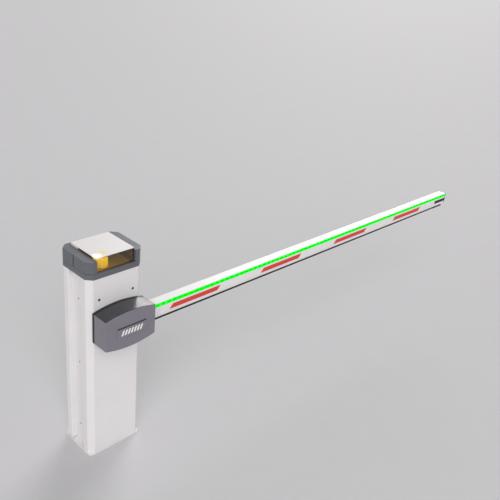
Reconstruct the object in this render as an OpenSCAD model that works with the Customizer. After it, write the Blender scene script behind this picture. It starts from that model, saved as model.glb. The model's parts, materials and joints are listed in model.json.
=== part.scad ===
// Parking barrier gate: a floor-standing cabinet with a lift-up boom.
// +X runs along the lowered boom, -Y is the face that carries the boom, +Z is up.
// The origin is the centre of the anchor-hole pattern, on the underside of the base plate.

/* [Cabinet] */
// Width of the cabinet across the face that carries the boom
cab_w = 280; // [276:1:300]
// Depth of the cabinet from boom face to door
cab_d = 212; // [210:1:230]
// Height at which the cabinet shell stops and the cap starts
shell_top = 938; // [925:1:960]
// Leg of the 45 degree chamfer on each vertical edge
corner_cut = 24; // [20:1:30]
// Thickness of the folded sheet steel
sheet_t = 2; // [1.5:0.5:3]
// Width of the vertical recess in each narrow side
recess_w = 94; // [80:1:96]
// Depth of that recess
recess_d = 24; // [20:1:26]

/* [Base plate] */
// Overhang of the base plate past each side of the cabinet
plate_over = 3; // [2:1:10]
// Thickness of the base plate
plate_t = 8; // [6:1:12]
// Anchor hole spacing along X
anchor_x = 180; // [160:1:190]
// Anchor hole spacing along Y
anchor_y = 120; // [100:1:130]
// Diameter of each anchor hole
anchor_hole_d = 13; // [10:0.5:16]
// Diameter of the conduit hole in the middle of the base plate
conduit_d = 80; // [50:1:90]

/* [Boom] */
// Height of the boom's axis of rotation above the ground
axis_z = 708; // [700:1:715]
// Reach of the boom from its axis of rotation to the tip of the profile
boom_reach = 2711; // [2500:1:3200]
// Height of the boom profile
boom_h = 79; // [74:1:84]
// Thickness of the boom profile
boom_t = 49; // [46:1:54]
// Gap between the cabinet face and the back of the boom
boom_gap = 8; // [8:0.5:14]
// Distance between the middles of neighbouring red reflectors
reflector_pitch = 607; // [500:1:700]

/* [Boom cover] */
// Length of the grey cover over the boom's root
cover_l = 262; // [250:1:280]
// Depth of the cover, front to back
cover_d = 90; // [88:1:110]
// Half height of the cover at its two ends
cover_end_h = 73; // [70:1:78]
// Rise of the cover's arched top and bottom above its ends
cover_rise = 18; // [10:1:24]

/* [Cap and lamp] */
// Overhang of the cap past the shell
cap_over = 3; // [3:1:6]
// Height of the cap's upright sides
cap_h = 83; // [80:1:100]
// Width of the lamp along X
lamp_w = 192; // [170:1:194]

/* [Drive] */
// Radius from the boom shaft to each lever pin
lever_r = 60; // [58:1:62]
// Distance between the boom shaft and the gearmotor's output shaft
link_l = 260; // [250:1:270]
// Number of teeth on the worm wheel
wheel_teeth = 30; // [30:1:30]

/* [Hidden] */
$fn = 64;

// Colours
shell_white = "#E4E2E3";
cap_grey = "#6C7076";
cover_grey = "#7D7A85";
zinc = "#B4B8BC";
dark_steel = "#6E7276";
cast_grey = "#8A8F92";
rubber_black = "#1B1B1C";
lens_amber = "#D98A1E";
led_green = "#00F01E";
reflector_red = "#CE4038";

// Clearances: run is a running fit on the radius, seat a close fit between fixed pieces
run = 0.05;
seat = 0.05;

// Cabinet planes
face_y = -cab_d / 2;
side_x = cab_w / 2;
floor_x = side_x - recess_d;
rec_y = recess_w / 2;
door_gap = 2;
plate_over_y = 1;
screw_heights = [113, 466, 797];
cap_tab_x = side_x - 3;
access_hole_x = 87;
access_hole_z = 832;
access_hole_d = 9;

// Mounting frame: a folded U open towards the door
frame_t = 5;
frame_y0 = face_y + 18;
frame_y1 = 30;
frame_x = floor_x - sheet_t;
back_y = frame_y0 + frame_t;
frame_top = 905;

// Boom shaft, bearings and the bridge that holds the rear bearing
shaft_r = 20;
bearing_r = 32;
bearing_hub_r = 42;
bearing_l = 32;
bridge_y = 24;
bridge_t = 5;
bridge_x = 90;
bridge_h = 140;
shaft_rear = bridge_y + bridge_t + bearing_l;
tail_r = 12;
tail_end = shaft_rear + 28;
cam_y = [shaft_rear + 7, shaft_rear + 21];
cam_t = 7;
cam_r = 27;
sensor_r = 6;

// Boom planes
boom_back = face_y - boom_gap;
boom_front = boom_back - boom_t;
boom_mid = boom_back - boom_t / 2;
boom_root = -95;
wall_t = 2.5;
flange_y = [boom_back + 0.1, boom_back + 5.6];
flange_l = 150;
plate_h = 54;
bolt_x = 55;
bolt_z = [-20, 11];
bolt_r = 5;
clamp_t = 6;
clamp_y = boom_front - 0.9;
led_z = [20.5, 37.5];
led_depth = 3;
slot_w = 18;
slot_h = 8;
bulb_w = 26;
bulb_h = 12;
reflector_z = [-14, 8];
reflector_l = 300;
reflector_t = 0.4;
reflector_x0 = 414;
reflector_count = 4;
tongue_l = 129;
cap_plate_t = 7;

// Boom cover
cover_t = 3;
cover_x = 7.5;
cover_drop = 2;
cover_back = face_y - 9;
cover_front = cover_back - cover_d;
cover_r = (pow(cover_l / 2, 2) + pow(cover_rise, 2)) / (2 * cover_rise);
badge_size = [153, 53];
badge_at = [11.5, -9.5];
badge_t = 4.5;
post_x = 30;

// Lever, link and gearmotor
lever_y = [-20, -8];
link_y = [-5, 7];
pin_r = 8;
pin_head_r = 12;
lever_w = 28;
rest_angle = 45;
motor_z = axis_z - link_l;
out_r = 15;
gear_case_r = 54;
gear_y = [back_y, -25];
gear_mid = (gear_y[0] + gear_y[1]) / 2;
worm_x = 50;
worm_r = 12.5;
thread_h = 4;
wheel_r = 38;
worm_pitch = 2 * PI * wheel_r / wheel_teeth;
worm_phase = worm_pitch / 2;
wheel_t = 16;
case_wall = 5;
tunnel_r = 20;
tunnel_z = [motor_z - 62, motor_z + 56];
motor_r = 28;
motor_l = 150;

// Balance spring, pulled by the lever pin on the side away from the boom
pin_x = lever_r * cos(rest_angle);
pin_z = lever_r * sin(rest_angle);
yoke_x = -(lever_r + pin_x) / 2;
yoke_half = (lever_r - pin_x) / 2;
link_mid = (link_y[0] + link_y[1]) / 2;
yoke_play = 2.2;
rod_r = 6;
spring_z = [165, 570];
spring_r = 18;
wire_r = 3.5;
spring_turns = 15;
eye_r = 9;
eye_wire = 3;

// Cap and lamp
cap_w = cab_w + 2 * cap_over;
cap_d = cab_d + 2 * cap_over;
cap_cut = corner_cut + 3;
cap_bottom = shell_top - 3;
cap_side_top = cap_bottom + cap_h;
cap_wall = cap_over - 0.3;
cap_inner_cut = corner_cut - 0.3;
sill_z = cap_bottom + 26;
groove_bottom = cap_bottom + 30;
cap_screw_z = cap_bottom + 35;
lens_top = cap_side_top + 6;
roof_t = 3.5;
lens_t = 2.5;
lens_y = [-cab_d/2 + 8, -cab_d/2 + 144];
roof_back = cab_d/2 - 13;
lamp_at = [-48, -52];
lamp_r = 30;
lamp_h = 36;

// Door, hinges and lock
door_bottom = plate_t + 3;
door_top = cap_bottom - 2;
hinge_at = [side_x - 9, rec_y - 7];
hinge_r = 6;
hinge_pin_r = 3;
hinge_z = [150, 780];
hinge_h = 60;
lock_at = [-78, 500];
lock_r = 9;
strike_y = cab_d/2 - 29;

// ---------- shared shapes ----------

// Octagonal outline: a rectangle with its corners cut at 45 degrees
function cut_rect(w, d, c) = [[w/2 - c, -d/2], [w/2, -d/2 + c], [w/2, d/2 - c], [w/2 - c, d/2],
    [c - w/2, d/2], [-w/2, d/2 - c], [-w/2, c - d/2], [c - w/2, -d/2]];

// The ring of sheet between two such outlines
module cut_ring(w, d, c, t) {
    difference() {
        polygon(cut_rect(w, d, c));
        polygon(cut_rect(w - 2*t, d - 2*t, c - t*(2 - sqrt(2))));
    }
}

// A block between two opposite corners
module block(a, b) {
    translate([min(a[0], b[0]), min(a[1], b[1]), min(a[2], b[2])])
        cube([abs(b[0] - a[0]), abs(b[1] - a[1]), abs(b[2] - a[2])]);
}

// A round bar along +Y between y0 and y1
module bar_y(r, y0, y1, x = 0, z = 0) {
    translate([x, y0, z]) rotate([-90, 0, 0]) cylinder(r = r, h = y1 - y0);
}

// A profile drawn in X and Z, extruded along +Y between y0 and y1
module slab_y(y0, y1) {
    translate([0, y1, 0]) rotate([90, 0, 0]) linear_extrude(y1 - y0) children();
}

// A profile drawn in Y and Z, extruded along +X between x0 and x1
module beam_x(x0, x1) {
    translate([x0, 0, 0]) rotate([90, 0, 90]) linear_extrude(x1 - x0) children();
}

// A rectangle with rounded corners, centred, built so that its arcs stay true
module round_rect(w, h, r) {
    square([w - 2*r, h], center = true);
    square([w, h - 2*r], center = true);
    for (x = [-1, 1], y = [-1, 1]) translate([x*(w/2 - r), y*(h/2 - r)]) circle(r = r);
}

// A hexagon-headed bolt along +Y: its head ends at y1 and its shank starts at y0
module bolt_y(r, y0, y1, head_r, head_h, x, z) {
    bar_y(r, y0, y1 - head_h, x, z);
    translate([x, y1 - head_h, z]) rotate([-90, 0, 0]) cylinder(r = head_r, h = head_h, $fn = 6);
}

// A closed tube along a list of points: ring k of it has the radius rr[k], and n sides
module swept_tube(points, rr, n) {
    last = len(points) - 1;
    rings = [for (k = [0:last])
        let (a = points[max(k - 1, 0)], b = points[min(k + 1, last)],
            t = (b - a) / norm(b - a),
            ref = abs(t[2]) > 0.9 ? [1, 0, 0] : [0, 0, 1],
            u = cross(t, ref) / norm(cross(t, ref)), v = cross(t, u))
        for (i = [0:n-1]) points[k] + rr[k]*(cos(360*i/n)*u + sin(360*i/n)*v)];
    sides = [for (k = [0:last-1], i = [0:n-1])
        [k*n + i, (k + 1)*n + i, (k + 1)*n + (i + 1) % n, k*n + (i + 1) % n]];
    ends = [[for (i = [0:n-1]) i], [for (i = [n-1:-1:0]) last*n + i]];
    polyhedron(points = rings, faces = concat(sides, ends), convexity = 10);
}

// ---------- cabinet ----------

module base_plate() {
    color(shell_white) difference() {
        linear_extrude(plate_t) round_rect(cab_w + 2*plate_over, cab_d + 2*plate_over_y, 18);
        translate([0, 0, -1]) cylinder(d = conduit_d, h = plate_t + 2);
        for (x = [-1, 1], y = [-1, 1])
            translate([x*anchor_x/2, y*anchor_y/2, -1]) cylinder(d = anchor_hole_d, h = plate_t + 2);
    }
}

// Half of the cabinet wall: side is -1 for the boom face and 1 for the door
module half_wall(side, z0, z1) {
    edge = side < 0 ? rec_y : rec_y + door_gap;
    translate([0, 0, z0]) linear_extrude(z1 - z0) {
        intersection() {
            cut_ring(cab_w, cab_d, corner_cut, sheet_t);
            translate([-side_x - 1, side < 0 ? -side_x - edge : edge]) square([cab_w + 2, side_x]);
        }
        for (x = [-1, 1]) translate([x > 0 ? floor_x + sheet_t : -side_x, side < 0 ? -edge - sheet_t : edge])
            square([recess_d - sheet_t, sheet_t]);
    }
}

module front_shell() {
    color(shell_white) difference() {
        half_wall(-1, plate_t, shell_top);
        bar_y(33, face_y - 1, face_y + sheet_t + 1, 0, axis_z);
        for (x = [-1, 1])
            bar_y(access_hole_d/2, face_y - 1, face_y + sheet_t + 1, x*access_hole_x, access_hole_z);
    }
}

// Floors of the two side recesses, with a strike for the door lock on one of them
module side_channels() {
    color(shell_white) for (x = [-1, 1]) difference() {
        union() {
            block([x*floor_x, -rec_y, plate_t], [x*(floor_x - sheet_t), rec_y, shell_top]);
            block([x*(floor_x - sheet_t), rec_y - sheet_t, plate_t],
                [x*(floor_x - 16), rec_y, shell_top - 8]);
            block([x*floor_x, -20, shell_top - sheet_t], [x*cap_tab_x, 20, shell_top]);
            block([x*(cap_tab_x - sheet_t), -20, shell_top], [x*cap_tab_x, 20, cap_screw_z + 12]);
            if (x < 0) {
                block([-floor_x + sheet_t, rec_y - 4, lock_at[1] - 20],
                    [-floor_x + 5, strike_y + 3, lock_at[1] + 20]);
                block([-floor_x + 5, strike_y, lock_at[1] - 20],
                    [-floor_x + 20, strike_y + 3, lock_at[1] + 20]);
            }
        }
        for (z = screw_heights) translate([x*floor_x, 8, z]) rotate([0, 90, 0])
            cylinder(r = 2.6, h = 12, center = true);
        translate([x*cap_tab_x, 0, cap_screw_z]) rotate([0, 90, 0])
            cylinder(r = 2.6, h = 12, center = true);
    }
}

module mounting_frame() {
    color(zinc) difference() {
        union() {
            difference() {
                block([-frame_x, frame_y0, plate_t], [frame_x, frame_y1, frame_top]);
                block([-frame_x + frame_t, back_y, 0], [frame_x - frame_t, frame_y1 + 1, frame_top + 1]);
            }
            for (x = [-1, 1]) block([x*(frame_x - frame_t), frame_y0, plate_t],
                [x*(frame_x - 44), -30, plate_t + frame_t]);
        }
        bar_y(24, frame_y0 - 1, back_y + 1, 0, axis_z);
        for (x = [-1, 1], z = screw_heights) translate([x*frame_x, 8, z]) rotate([0, 90, 0])
            cylinder(r = 2.6, h = 14, center = true);
        for (p = frame_bolt_points()) bar_y(4.2, frame_y0 - 1, back_y + 1, p[0], p[1]);
        for (x = [-1, 1]) translate([x*anchor_x/2, -anchor_y/2, 0]) cylinder(r = 8, h = 30);
    }
}

// Bearing flange bolts, then gearbox foot bolts
function frame_bolt_points() = concat(
    [for (x = [-1, 1], z = [-1, 1]) [x*42, axis_z + z*42]],
    [for (x = [-1, 1]) [x*38 + 4, motor_z + 74 - 8*x]]);

module frame_bolts() {
    color(dark_steel) for (p = frame_bolt_points())
        mirror([0, 1, 0]) bolt_y(4, -back_y - 11, -frame_y0 + 6, 7.5, 6, p[0], p[1]);
}

module housing_screws() {
    color(dark_steel) {
        for (x = [-1, 1], z = screw_heights) translate([x*(floor_x - 7), 8, z]) rotate([0, x*90, 0]) {
            cylinder(r = 2.5, h = 7);
            translate([0, 0, 7]) cylinder(r1 = 4.5, r2 = 3, h = 2.5);
        }
        for (x = [-1, 1]) translate([x*(cap_w/2 - 11), 0, cap_screw_z]) rotate([0, x*90, 0]) {
            cylinder(r = 2.5, h = 10);
            translate([0, 0, 9.2]) cylinder(r = 4, h = 1.4);
        }
    }
}

module bearing_housing_at(y, flip) {
    translate([0, y, axis_z]) mirror([0, flip, 0]) difference() {
        union() {
            slab_y(0, 12) round_rect(104, 104, 12);
            bar_y(bearing_hub_r, 0, bearing_l);
        }
        bar_y(bearing_r, -1, bearing_l + 1);
        for (x = [-1, 1], z = [-1, 1]) bar_y(4.2, -1, 13, x*42, z*42);
    }
}

module bearing_housings() {
    color(cast_grey) {
        bearing_housing_at(back_y, 0);
        bearing_housing_at(bridge_y + bridge_t, 0);
    }
}

module bearings() {
    color(zinc) for (y = [back_y + 2, bridge_y + bridge_t + 2]) difference() {
        bar_y(bearing_r - seat, y, y + bearing_l - 4, 0, axis_z);
        bar_y(shaft_r + run, y - 1, y + bearing_l, 0, axis_z);
        for (d = [-1, bearing_l - 6]) difference() {
            bar_y(29, y + d, y + d + 3, 0, axis_z);
            bar_y(24, y + d - 1, y + d + 4, 0, axis_z);
        }
    }
}

module bearing_bridge() {
    z0 = axis_z - bridge_h/2;
    z1 = axis_z + bridge_h/2;
    color(zinc) difference() {
        union() {
            block([-bridge_x, bridge_y, z0], [bridge_x, bridge_y + bridge_t, z1]);
            for (x = [-1, 1]) {
                block([x*bridge_x, back_y, z0], [x*(bridge_x - bridge_t), bridge_y, z1]);
                block([x*bridge_x, back_y, z0], [x*(frame_x - frame_t), back_y + 4, z1]);
            }
            block([62, bridge_y + bridge_t, axis_z - 18], [66, tail_end + 2, axis_z + 18]);
        }
        bar_y(24, bridge_y - 1, bridge_y + bridge_t + 1, 0, axis_z);
        for (y = cam_y) translate([60, y, axis_z]) rotate([0, 90, 0]) cylinder(r = sensor_r + seat, h = 8);
        for (x = [-1, 1], z = [-1, 1])
            bar_y(4.2, bridge_y - 1, bridge_y + bridge_t + 1, x*42, axis_z + z*42);
    }
}

// Two buffers on the bridge that the lever meets at either end of its travel
module end_stops() {
    color(rubber_black) for (s = [-1, 1]) translate([0, 0, axis_z]) rotate([0, -s*rest_angle, 0])
        block([31, -22, s*(lever_w/2 + 0.5)], [45, bridge_y, s*(lever_w/2 + 28)]);
}

module shaft_seal() {
    color(cap_grey) difference() {
        union() {
            bar_y(32.9, face_y, face_y + 6, 0, axis_z);
            bar_y(38, face_y - 1.6, face_y, 0, axis_z);
        }
        bar_y(shaft_r + 0.6, face_y - 3, face_y + 7, 0, axis_z);
    }
}

// ---------- gearmotor ----------

module gear_case_outline(extra) {
    circle(r = gear_case_r + extra);
    translate([worm_x - tunnel_r - case_wall - extra, tunnel_z[0] - motor_z])
        square([2*(tunnel_r + case_wall + extra), tunnel_z[1] - tunnel_z[0]]);
}

module gearbox_housing() {
    color(cast_grey) difference() {
        union() {
            translate([0, 0, motor_z]) slab_y(gear_y[0], gear_y[1] - 4) gear_case_outline(0);
            for (x = [-1, 1])
                block([x*38 - 8, gear_y[0], motor_z + 30], [x*38 + 16, gear_y[0] + 8, motor_z + 90]);
        }
        translate([0, 0, motor_z]) slab_y(gear_y[0] + case_wall, gear_y[1]) circle(r = wheel_r + 6);
        translate([worm_x, gear_mid, tunnel_z[0] + 6])
            cylinder(r = tunnel_r, h = tunnel_z[1] - tunnel_z[0] - 12);
        translate([worm_x, gear_mid, tunnel_z[0] - 1]) cylinder(r = 7 + run, h = 200);
        for (x = [-1, 1]) bar_y(4.2, gear_y[0] - 1, gear_y[0] + 10, x*38 + 4, motor_z + 74 - 8*x);
    }
}

module gearbox_cover() {
    color(cast_grey) difference() {
        union() {
            translate([0, 0, motor_z]) slab_y(gear_y[1] - 4, gear_y[1]) gear_case_outline(0);
            bar_y(24, gear_y[1], gear_y[1] + 3, 0, motor_z);
            for (a = [60:60:300]) bar_y(4, gear_y[1], gear_y[1] + 2.4, 47*cos(a), motor_z + 47*sin(a));
        }
        bar_y(out_r + run, gear_y[1] - 5, gear_y[1] + 4, 0, motor_z);
    }
}

module motor_body() {
    color(rubber_black) difference() {
        union() {
            translate([worm_x, gear_mid, tunnel_z[0] - 6]) cylinder(r = 25, h = 6);
            translate([worm_x, gear_mid, tunnel_z[0] - 6 - motor_l]) cylinder(r = motor_r, h = motor_l);
        }
        translate([worm_x, gear_mid, tunnel_z[0] - 40]) cylinder(r = 7 + run, h = 50);
    }
}

module motor_end_cap() {
    color(zinc) translate([worm_x, gear_mid, tunnel_z[0] - 6 - motor_l]) {
        translate([0, 0, -12]) cylinder(r = motor_r - 1.5, h = 12);
        translate([0, 0, -18]) cylinder(r = 12, h = 6);
    }
}

// Worm: a core with a single-start thread round it, turning wheel_teeth times as fast as the wheel
module worm_shaft() {
    n = 20;
    turns = 5;
    color(dark_steel) translate([worm_x, gear_mid, motor_z]) {
        cylinder(r = worm_r - thread_h, h = 2*20, center = true);
        translate([0, 0, tunnel_z[0] - motor_z - 36]) cylinder(r = 7, h = tunnel_z[1] - tunnel_z[0] + 40);
        worm_thread(n, turns);
    }
}

module worm_thread(n, turns) {
    r0 = worm_r - thread_h - 1;
    root = 0.19*worm_pitch;
    tip = 0.11*worm_pitch;
    count = n*turns;
    points = [for (k = [0:count]) let (a = 360*k/n, z = worm_pitch*(k/n - turns/2) + worm_phase,
            c = cos(a), s = sin(a))
        for (q = [[r0, -root], [worm_r, -tip], [worm_r, tip], [r0, root]]) [q[0]*c, q[0]*s, z + q[1]]];
    sides = [for (k = [0:count-1], i = [0:3])
        [4*k + i, 4*k + (i + 1) % 4, 4*(k + 1) + (i + 1) % 4, 4*(k + 1) + i]];
    polyhedron(points = points, faces = concat(sides, [[3, 2, 1, 0], [for (i = [0:3]) 4*count + i]]),
        convexity = 10);
}

module worm_wheel() {
    tip_r = wheel_r + 3;
    root_r = wheel_r - 4;
    half = 360/wheel_teeth/2;
    color("#B58A3C") translate([0, 0, motor_z]) difference() {
        slab_y(gear_mid - wheel_t/2, gear_mid + wheel_t/2) {
            circle(r = root_r);
            for (i = [0:wheel_teeth-1]) rotate(i*2*half) polygon([
                [root_r - 1, -0.24*worm_pitch], [tip_r, -0.10*worm_pitch],
                [tip_r, 0.10*worm_pitch], [root_r - 1, 0.24*worm_pitch]]);
        }
        bar_y(out_r + seat, gear_mid - wheel_t, gear_mid + wheel_t);
    }
}

module output_shaft() {
    color(dark_steel) {
        bar_y(out_r, gear_y[0] + case_wall + 1, lever_y[1] + 3, 0, motor_z);
        bar_y(out_r + 3, gear_mid + wheel_t/2, gear_mid + wheel_t/2 + 5, 0, motor_z);
    }
}

module crank_arm() {
    color(zinc) translate([0, 0, motor_z]) rotate([0, rest_angle, 0]) difference() {
        union() {
            slab_y(lever_y[0], lever_y[1]) {
                circle(r = 23);
                translate([0, -lever_w/2]) square([lever_r, lever_w]);
                translate([lever_r, 0]) circle(r = lever_w/2);
            }
            bar_y(pin_r, lever_y[0], link_y[1] + 1, lever_r, 0);
            bar_y(pin_head_r, link_y[1] + 1, link_y[1] + 4, lever_r, 0);
        }
        bar_y(out_r + seat, lever_y[0] - 1, lever_y[1] + 1);
    }
}

module link_rod() {
    color(dark_steel) translate([pin_x, 0, 0]) difference() {
        slab_y(link_y[0], link_y[1]) {
            for (z = [motor_z, axis_z]) translate([0, z - pin_z]) circle(r = 16);
            translate([-9, motor_z - pin_z]) square([18, link_l]);
        }
        for (z = [motor_z, axis_z]) bar_y(pin_r + 3, link_y[0] - 1, link_y[1] + 1, 0, z - pin_z);
    }
}

module link_bushes() {
    color("#B58A3C") for (z = [motor_z, axis_z]) difference() {
        bar_y(pin_r + 3 - seat, link_y[0], link_y[1], pin_x, z - pin_z);
        bar_y(pin_r + run, link_y[0] - 1, link_y[1] + 1, pin_x, z - pin_z);
    }
}

module release_lever() {
    z = motor_z + gear_case_r + 1;
    color(reflector_red) translate([-8, gear_mid, z]) {
        cylinder(r = 9, h = 10);
        translate([-34, -5, 3]) cube([34, 10, 5]);
        translate([-34, 0, 1.5]) cylinder(r = 8, h = 8);
    }
}

// ---------- balance spring ----------

module spring_yoke() {
    top = axis_z + pin_z;
    color(zinc) difference() {
        union() {
            translate([yoke_x, 0, top]) slab_y(link_y[0], link_y[1]) round_rect(58, 44, 10);
            translate([yoke_x, link_mid, spring_z[1] + 8])
                cylinder(r = rod_r - 0.5, h = top - spring_z[1] - 28);
            translate([yoke_x, link_mid, spring_z[1] + 4]) cylinder(r = 11, h = 30);
            translate([yoke_x, link_mid, spring_z[1]]) ring_eye();
        }
        translate([yoke_x, 0, top]) slab_y(link_y[0] - 1, link_y[1] + 1)
            round_rect(2*(yoke_half + pin_r + yoke_play), 2*(pin_r + yoke_play), pin_r);
    }
}

// A round eye in the XZ plane, centred on its own origin
module ring_eye() {
    rotate([90, 0, 0]) rotate_extrude() translate([eye_r, 0]) circle(r = eye_wire, $fn = 24);
}

module spring_bracket() {
    color(zinc) difference() {
        union() {
            block([yoke_x - 30, back_y, 120], [yoke_x + 30, 26, 126]);
            block([yoke_x - 30, back_y, 90], [yoke_x + 30, back_y + 6, 126]);
        }
        translate([yoke_x, link_mid, 110]) cylinder(r = rod_r + 0.5, h = 30);
    }
}

module spring_eye_bolt() {
    color(zinc) translate([yoke_x, link_mid, 0]) {
        translate([0, 0, 84]) cylinder(r = rod_r, h = spring_z[0] - 84 - eye_r);
        translate([0, 0, spring_z[0]]) ring_eye();
        translate([0, 0, 110]) cylinder(r = 11, h = 10, $fn = 6);
        translate([0, 0, 126]) cylinder(r = 11, h = 10, $fn = 6);
    }
}

// Extension spring: a helix whose radius closes to the axis at both ends, where it hooks the eyes
module balance_spring() {
    n = 14;
    steps = n*(spring_turns + 2);
    z0 = spring_z[0] + 2.2*eye_r;
    z1 = spring_z[1] - 2.2*eye_r;
    points = [for (k = [0:steps]) let (t = k/steps, e = min(1, min(t, 1 - t)*steps/n), a = 360*k/n)
        [yoke_x + spring_r*e*cos(a), link_mid + spring_r*e*sin(a), z0 + t*(z1 - z0)]];
    color(dark_steel) swept_tube(points, [for (k = [0:steps]) wire_r], 8);
}

// ---------- boom and its carrier ----------

module main_shaft() {
    color(dark_steel) {
        bar_y(shaft_r, flange_y[1], shaft_rear + 1, 0, axis_z);
        bar_y(tail_r, shaft_rear + 1, tail_end, 0, axis_z);
    }
}

module boom_lever() {
    color(zinc) translate([0, 0, axis_z]) rotate([0, rest_angle, 0]) difference() {
        union() {
            slab_y(lever_y[0], lever_y[1]) {
                translate([-lever_r, -lever_w/2]) square([2*lever_r, lever_w]);
                for (x = [-1, 1]) translate([x*lever_r, 0]) circle(r = lever_w/2);
            }
            bar_y(28, lever_y[0] - 8, lever_y[1] + 2);
        }
        bar_y(shaft_r + seat, lever_y[0] - 9, lever_y[1] + 9);
        for (x = [-1, 1]) bar_y(pin_r + seat, lever_y[0] - 1, lever_y[1] + 1, x*lever_r);
    }
}

module lever_pins() {
    color(dark_steel) translate([0, 0, axis_z]) rotate([0, rest_angle, 0]) for (x = [-1, 1]) {
        bar_y(pin_r, lever_y[0] - 1, link_y[1] + 1, x*lever_r);
        bar_y(pin_head_r, link_y[1] + 1, link_y[1] + 4, x*lever_r);
        bar_y(pin_head_r, lever_y[0] - 4, lever_y[0] - 0.1, x*lever_r);
    }
}

module limit_cams() {
    color(dark_steel) translate([0, 0, axis_z]) for (k = [0, 1]) difference() {
        bar_y(cam_r, cam_y[k] - cam_t/2, cam_y[k] + cam_t/2);
        bar_y(tail_r + seat, cam_y[k] - cam_t, cam_y[k] + cam_t);
        rotate([0, 90*k - 30, 0]) block([18, cam_y[k] - cam_t, -12], [40, cam_y[k] + cam_t, 12]);
    }
}

module limit_sensors() {
    color("#3A5E8C") for (y = cam_y) translate([cam_r + 1.5, y, axis_z]) rotate([0, 90, 0]) {
        cylinder(r = sensor_r, h = 46);
        translate([0, 0, 12]) cylinder(r = sensor_r + 1, h = 4, $fn = 6);
    }
}

module boom_flange() {
    color(zinc) difference() {
        translate([0, 0, axis_z]) slab_y(flange_y[0], flange_y[1]) round_rect(flange_l, 70, 10);
        for (x = [-1, 1], z = bolt_z)
            bar_y(bolt_r + seat, flange_y[0] - 1, flange_y[1] + 1, x*bolt_x, axis_z + z);
    }
}

module clamp_plate() {
    color(zinc) difference() {
        translate([0, 0, axis_z - 4]) slab_y(clamp_y - clamp_t, clamp_y) round_rect(flange_l, plate_h, 8);
        for (x = [-1, 1], z = bolt_z)
            bar_y(bolt_r + 0.5, clamp_y - clamp_t - 1, clamp_y + 1, x*bolt_x, axis_z + z);
    }
}

module boom_bolts() {
    color(dark_steel) for (x = [-1, 1], z = bolt_z) {
        bar_y(bolt_r, clamp_y - clamp_t, flange_y[1] - 0.5, x*bolt_x, axis_z + z);
        translate([x*bolt_x, clamp_y - clamp_t - 7, axis_z + z]) rotate([-90, 0, 0])
            cylinder(r = 9, h = 7, $fn = 6);
    }
}

// Outline of the boom in Y and Z about its own middle: small radii on top, large ones below
module boom_outline(inset = 0) {
    rt = 2 - inset/2;
    rb = 16 - inset;
    hw = boom_t/2 - inset;
    hh = boom_h/2 - inset;
    translate([-hw + rt, -hh + rb]) square([2*(hw - rt), 2*hh - rb]);
    translate([-hw, -hh + rb]) square([2*hw, 2*hh - rb - rt]);
    translate([-hw + rb, -hh]) square([2*(hw - rb), 2*rb]);
    for (s = [-1, 1]) {
        translate([s*(hw - rt), hh - rt]) circle(r = rt);
        translate([s*(hw - rb), -hh + rb]) circle(r = rb);
    }
}

module boom_tube() {
    h = boom_h/2;
    w = boom_t/2;
    color(shell_white) translate([0, boom_mid, axis_z]) difference() {
        beam_x(boom_root, boom_reach) difference() {
            boom_outline();
            difference() {
                boom_outline(wall_t);
                for (s = [-1, 1]) translate([s*w - (s > 0 ? led_depth + wall_t : 0), led_z[0] - wall_t])
                    square([led_depth + wall_t, h]);
                translate([-slot_w/2 - wall_t, -h]) square([slot_w + 2*wall_t, slot_h + wall_t]);
            }
            for (s = [-1, 1]) translate([s > 0 ? w - led_depth : -w - 1, led_z[0]])
                square([led_depth + 1, led_z[1] - led_z[0]]);
            translate([-slot_w/2, -h - 1]) square([slot_w, slot_h + 1]);
        }
        for (x = [-1, 1], z = bolt_z) bar_y(bolt_r + 0.5, -w - 1, w + 1, x*bolt_x, z);
        translate([boom_reach - tongue_l, -w - 1, reflector_z[0]])
            cube([tongue_l + 1, boom_t + 2, reflector_z[1] - reflector_z[0]]);
    }
}

module led_covers() {
    w = boom_t/2;
    color(led_green) translate([0, boom_mid, axis_z]) for (s = [-1, 1])
        beam_x(flange_l/2 + 6, boom_reach - 0.5)
            translate([s > 0 ? w - led_depth + seat : -w - 0.8, led_z[0] + seat])
                square([led_depth + 0.8 - seat, led_z[1] - led_z[0] - 2*seat]);
}

module reflectors() {
    w = boom_t/2;
    slant = reflector_z[1] - reflector_z[0];
    z0 = reflector_z[0] + 0.5;
    z1 = reflector_z[1] - 0.5;
    color(reflector_red) translate([0, boom_mid, axis_z]) for (k = [0:reflector_count-1], s = [-1, 1])
        translate([reflector_x0 + k*reflector_pitch, 0, 0])
            slab_y(s > 0 ? w : -w - reflector_t, s > 0 ? w + reflector_t : -w)
                polygon([[-reflector_l/2 - slant/2, z0], [reflector_l/2 - slant/2, z0],
                    [reflector_l/2 + slant/2, z1], [-reflector_l/2 + slant/2, z1]]);
}

module rubber_edge() {
    h = boom_h/2;
    color(rubber_black) translate([0, boom_mid, axis_z]) beam_x(flange_l/2 + 6, boom_reach - 112) {
        translate([-slot_w/2 + 0.2, -h - 2]) square([slot_w - 0.4, slot_h + 1.5]);
        difference() {
            translate([0, -h - bulb_h/2]) round_rect(bulb_w, bulb_h, 4);
            translate([0, -h - bulb_h/2 - 1]) round_rect(bulb_w - 8, bulb_h - 6, 2);
        }
    }
}

module boom_end_cap() {
    w = boom_t/2;
    color(rubber_black) translate([0, boom_mid, axis_z]) {
        beam_x(boom_reach, boom_reach + cap_plate_t) boom_outline();
        for (s = [-1, 1])
            translate([boom_reach - tongue_l + 0.3, s > 0 ? w - wall_t : -w, reflector_z[0] + 0.3])
                cube([tongue_l - 0.3, wall_t, reflector_z[1] - reflector_z[0] - 0.6]);
        translate([boom_reach - 40, -w + wall_t, reflector_z[0] + 2]) cube([40, boom_t - 2*wall_t, 16]);
    }
}

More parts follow.
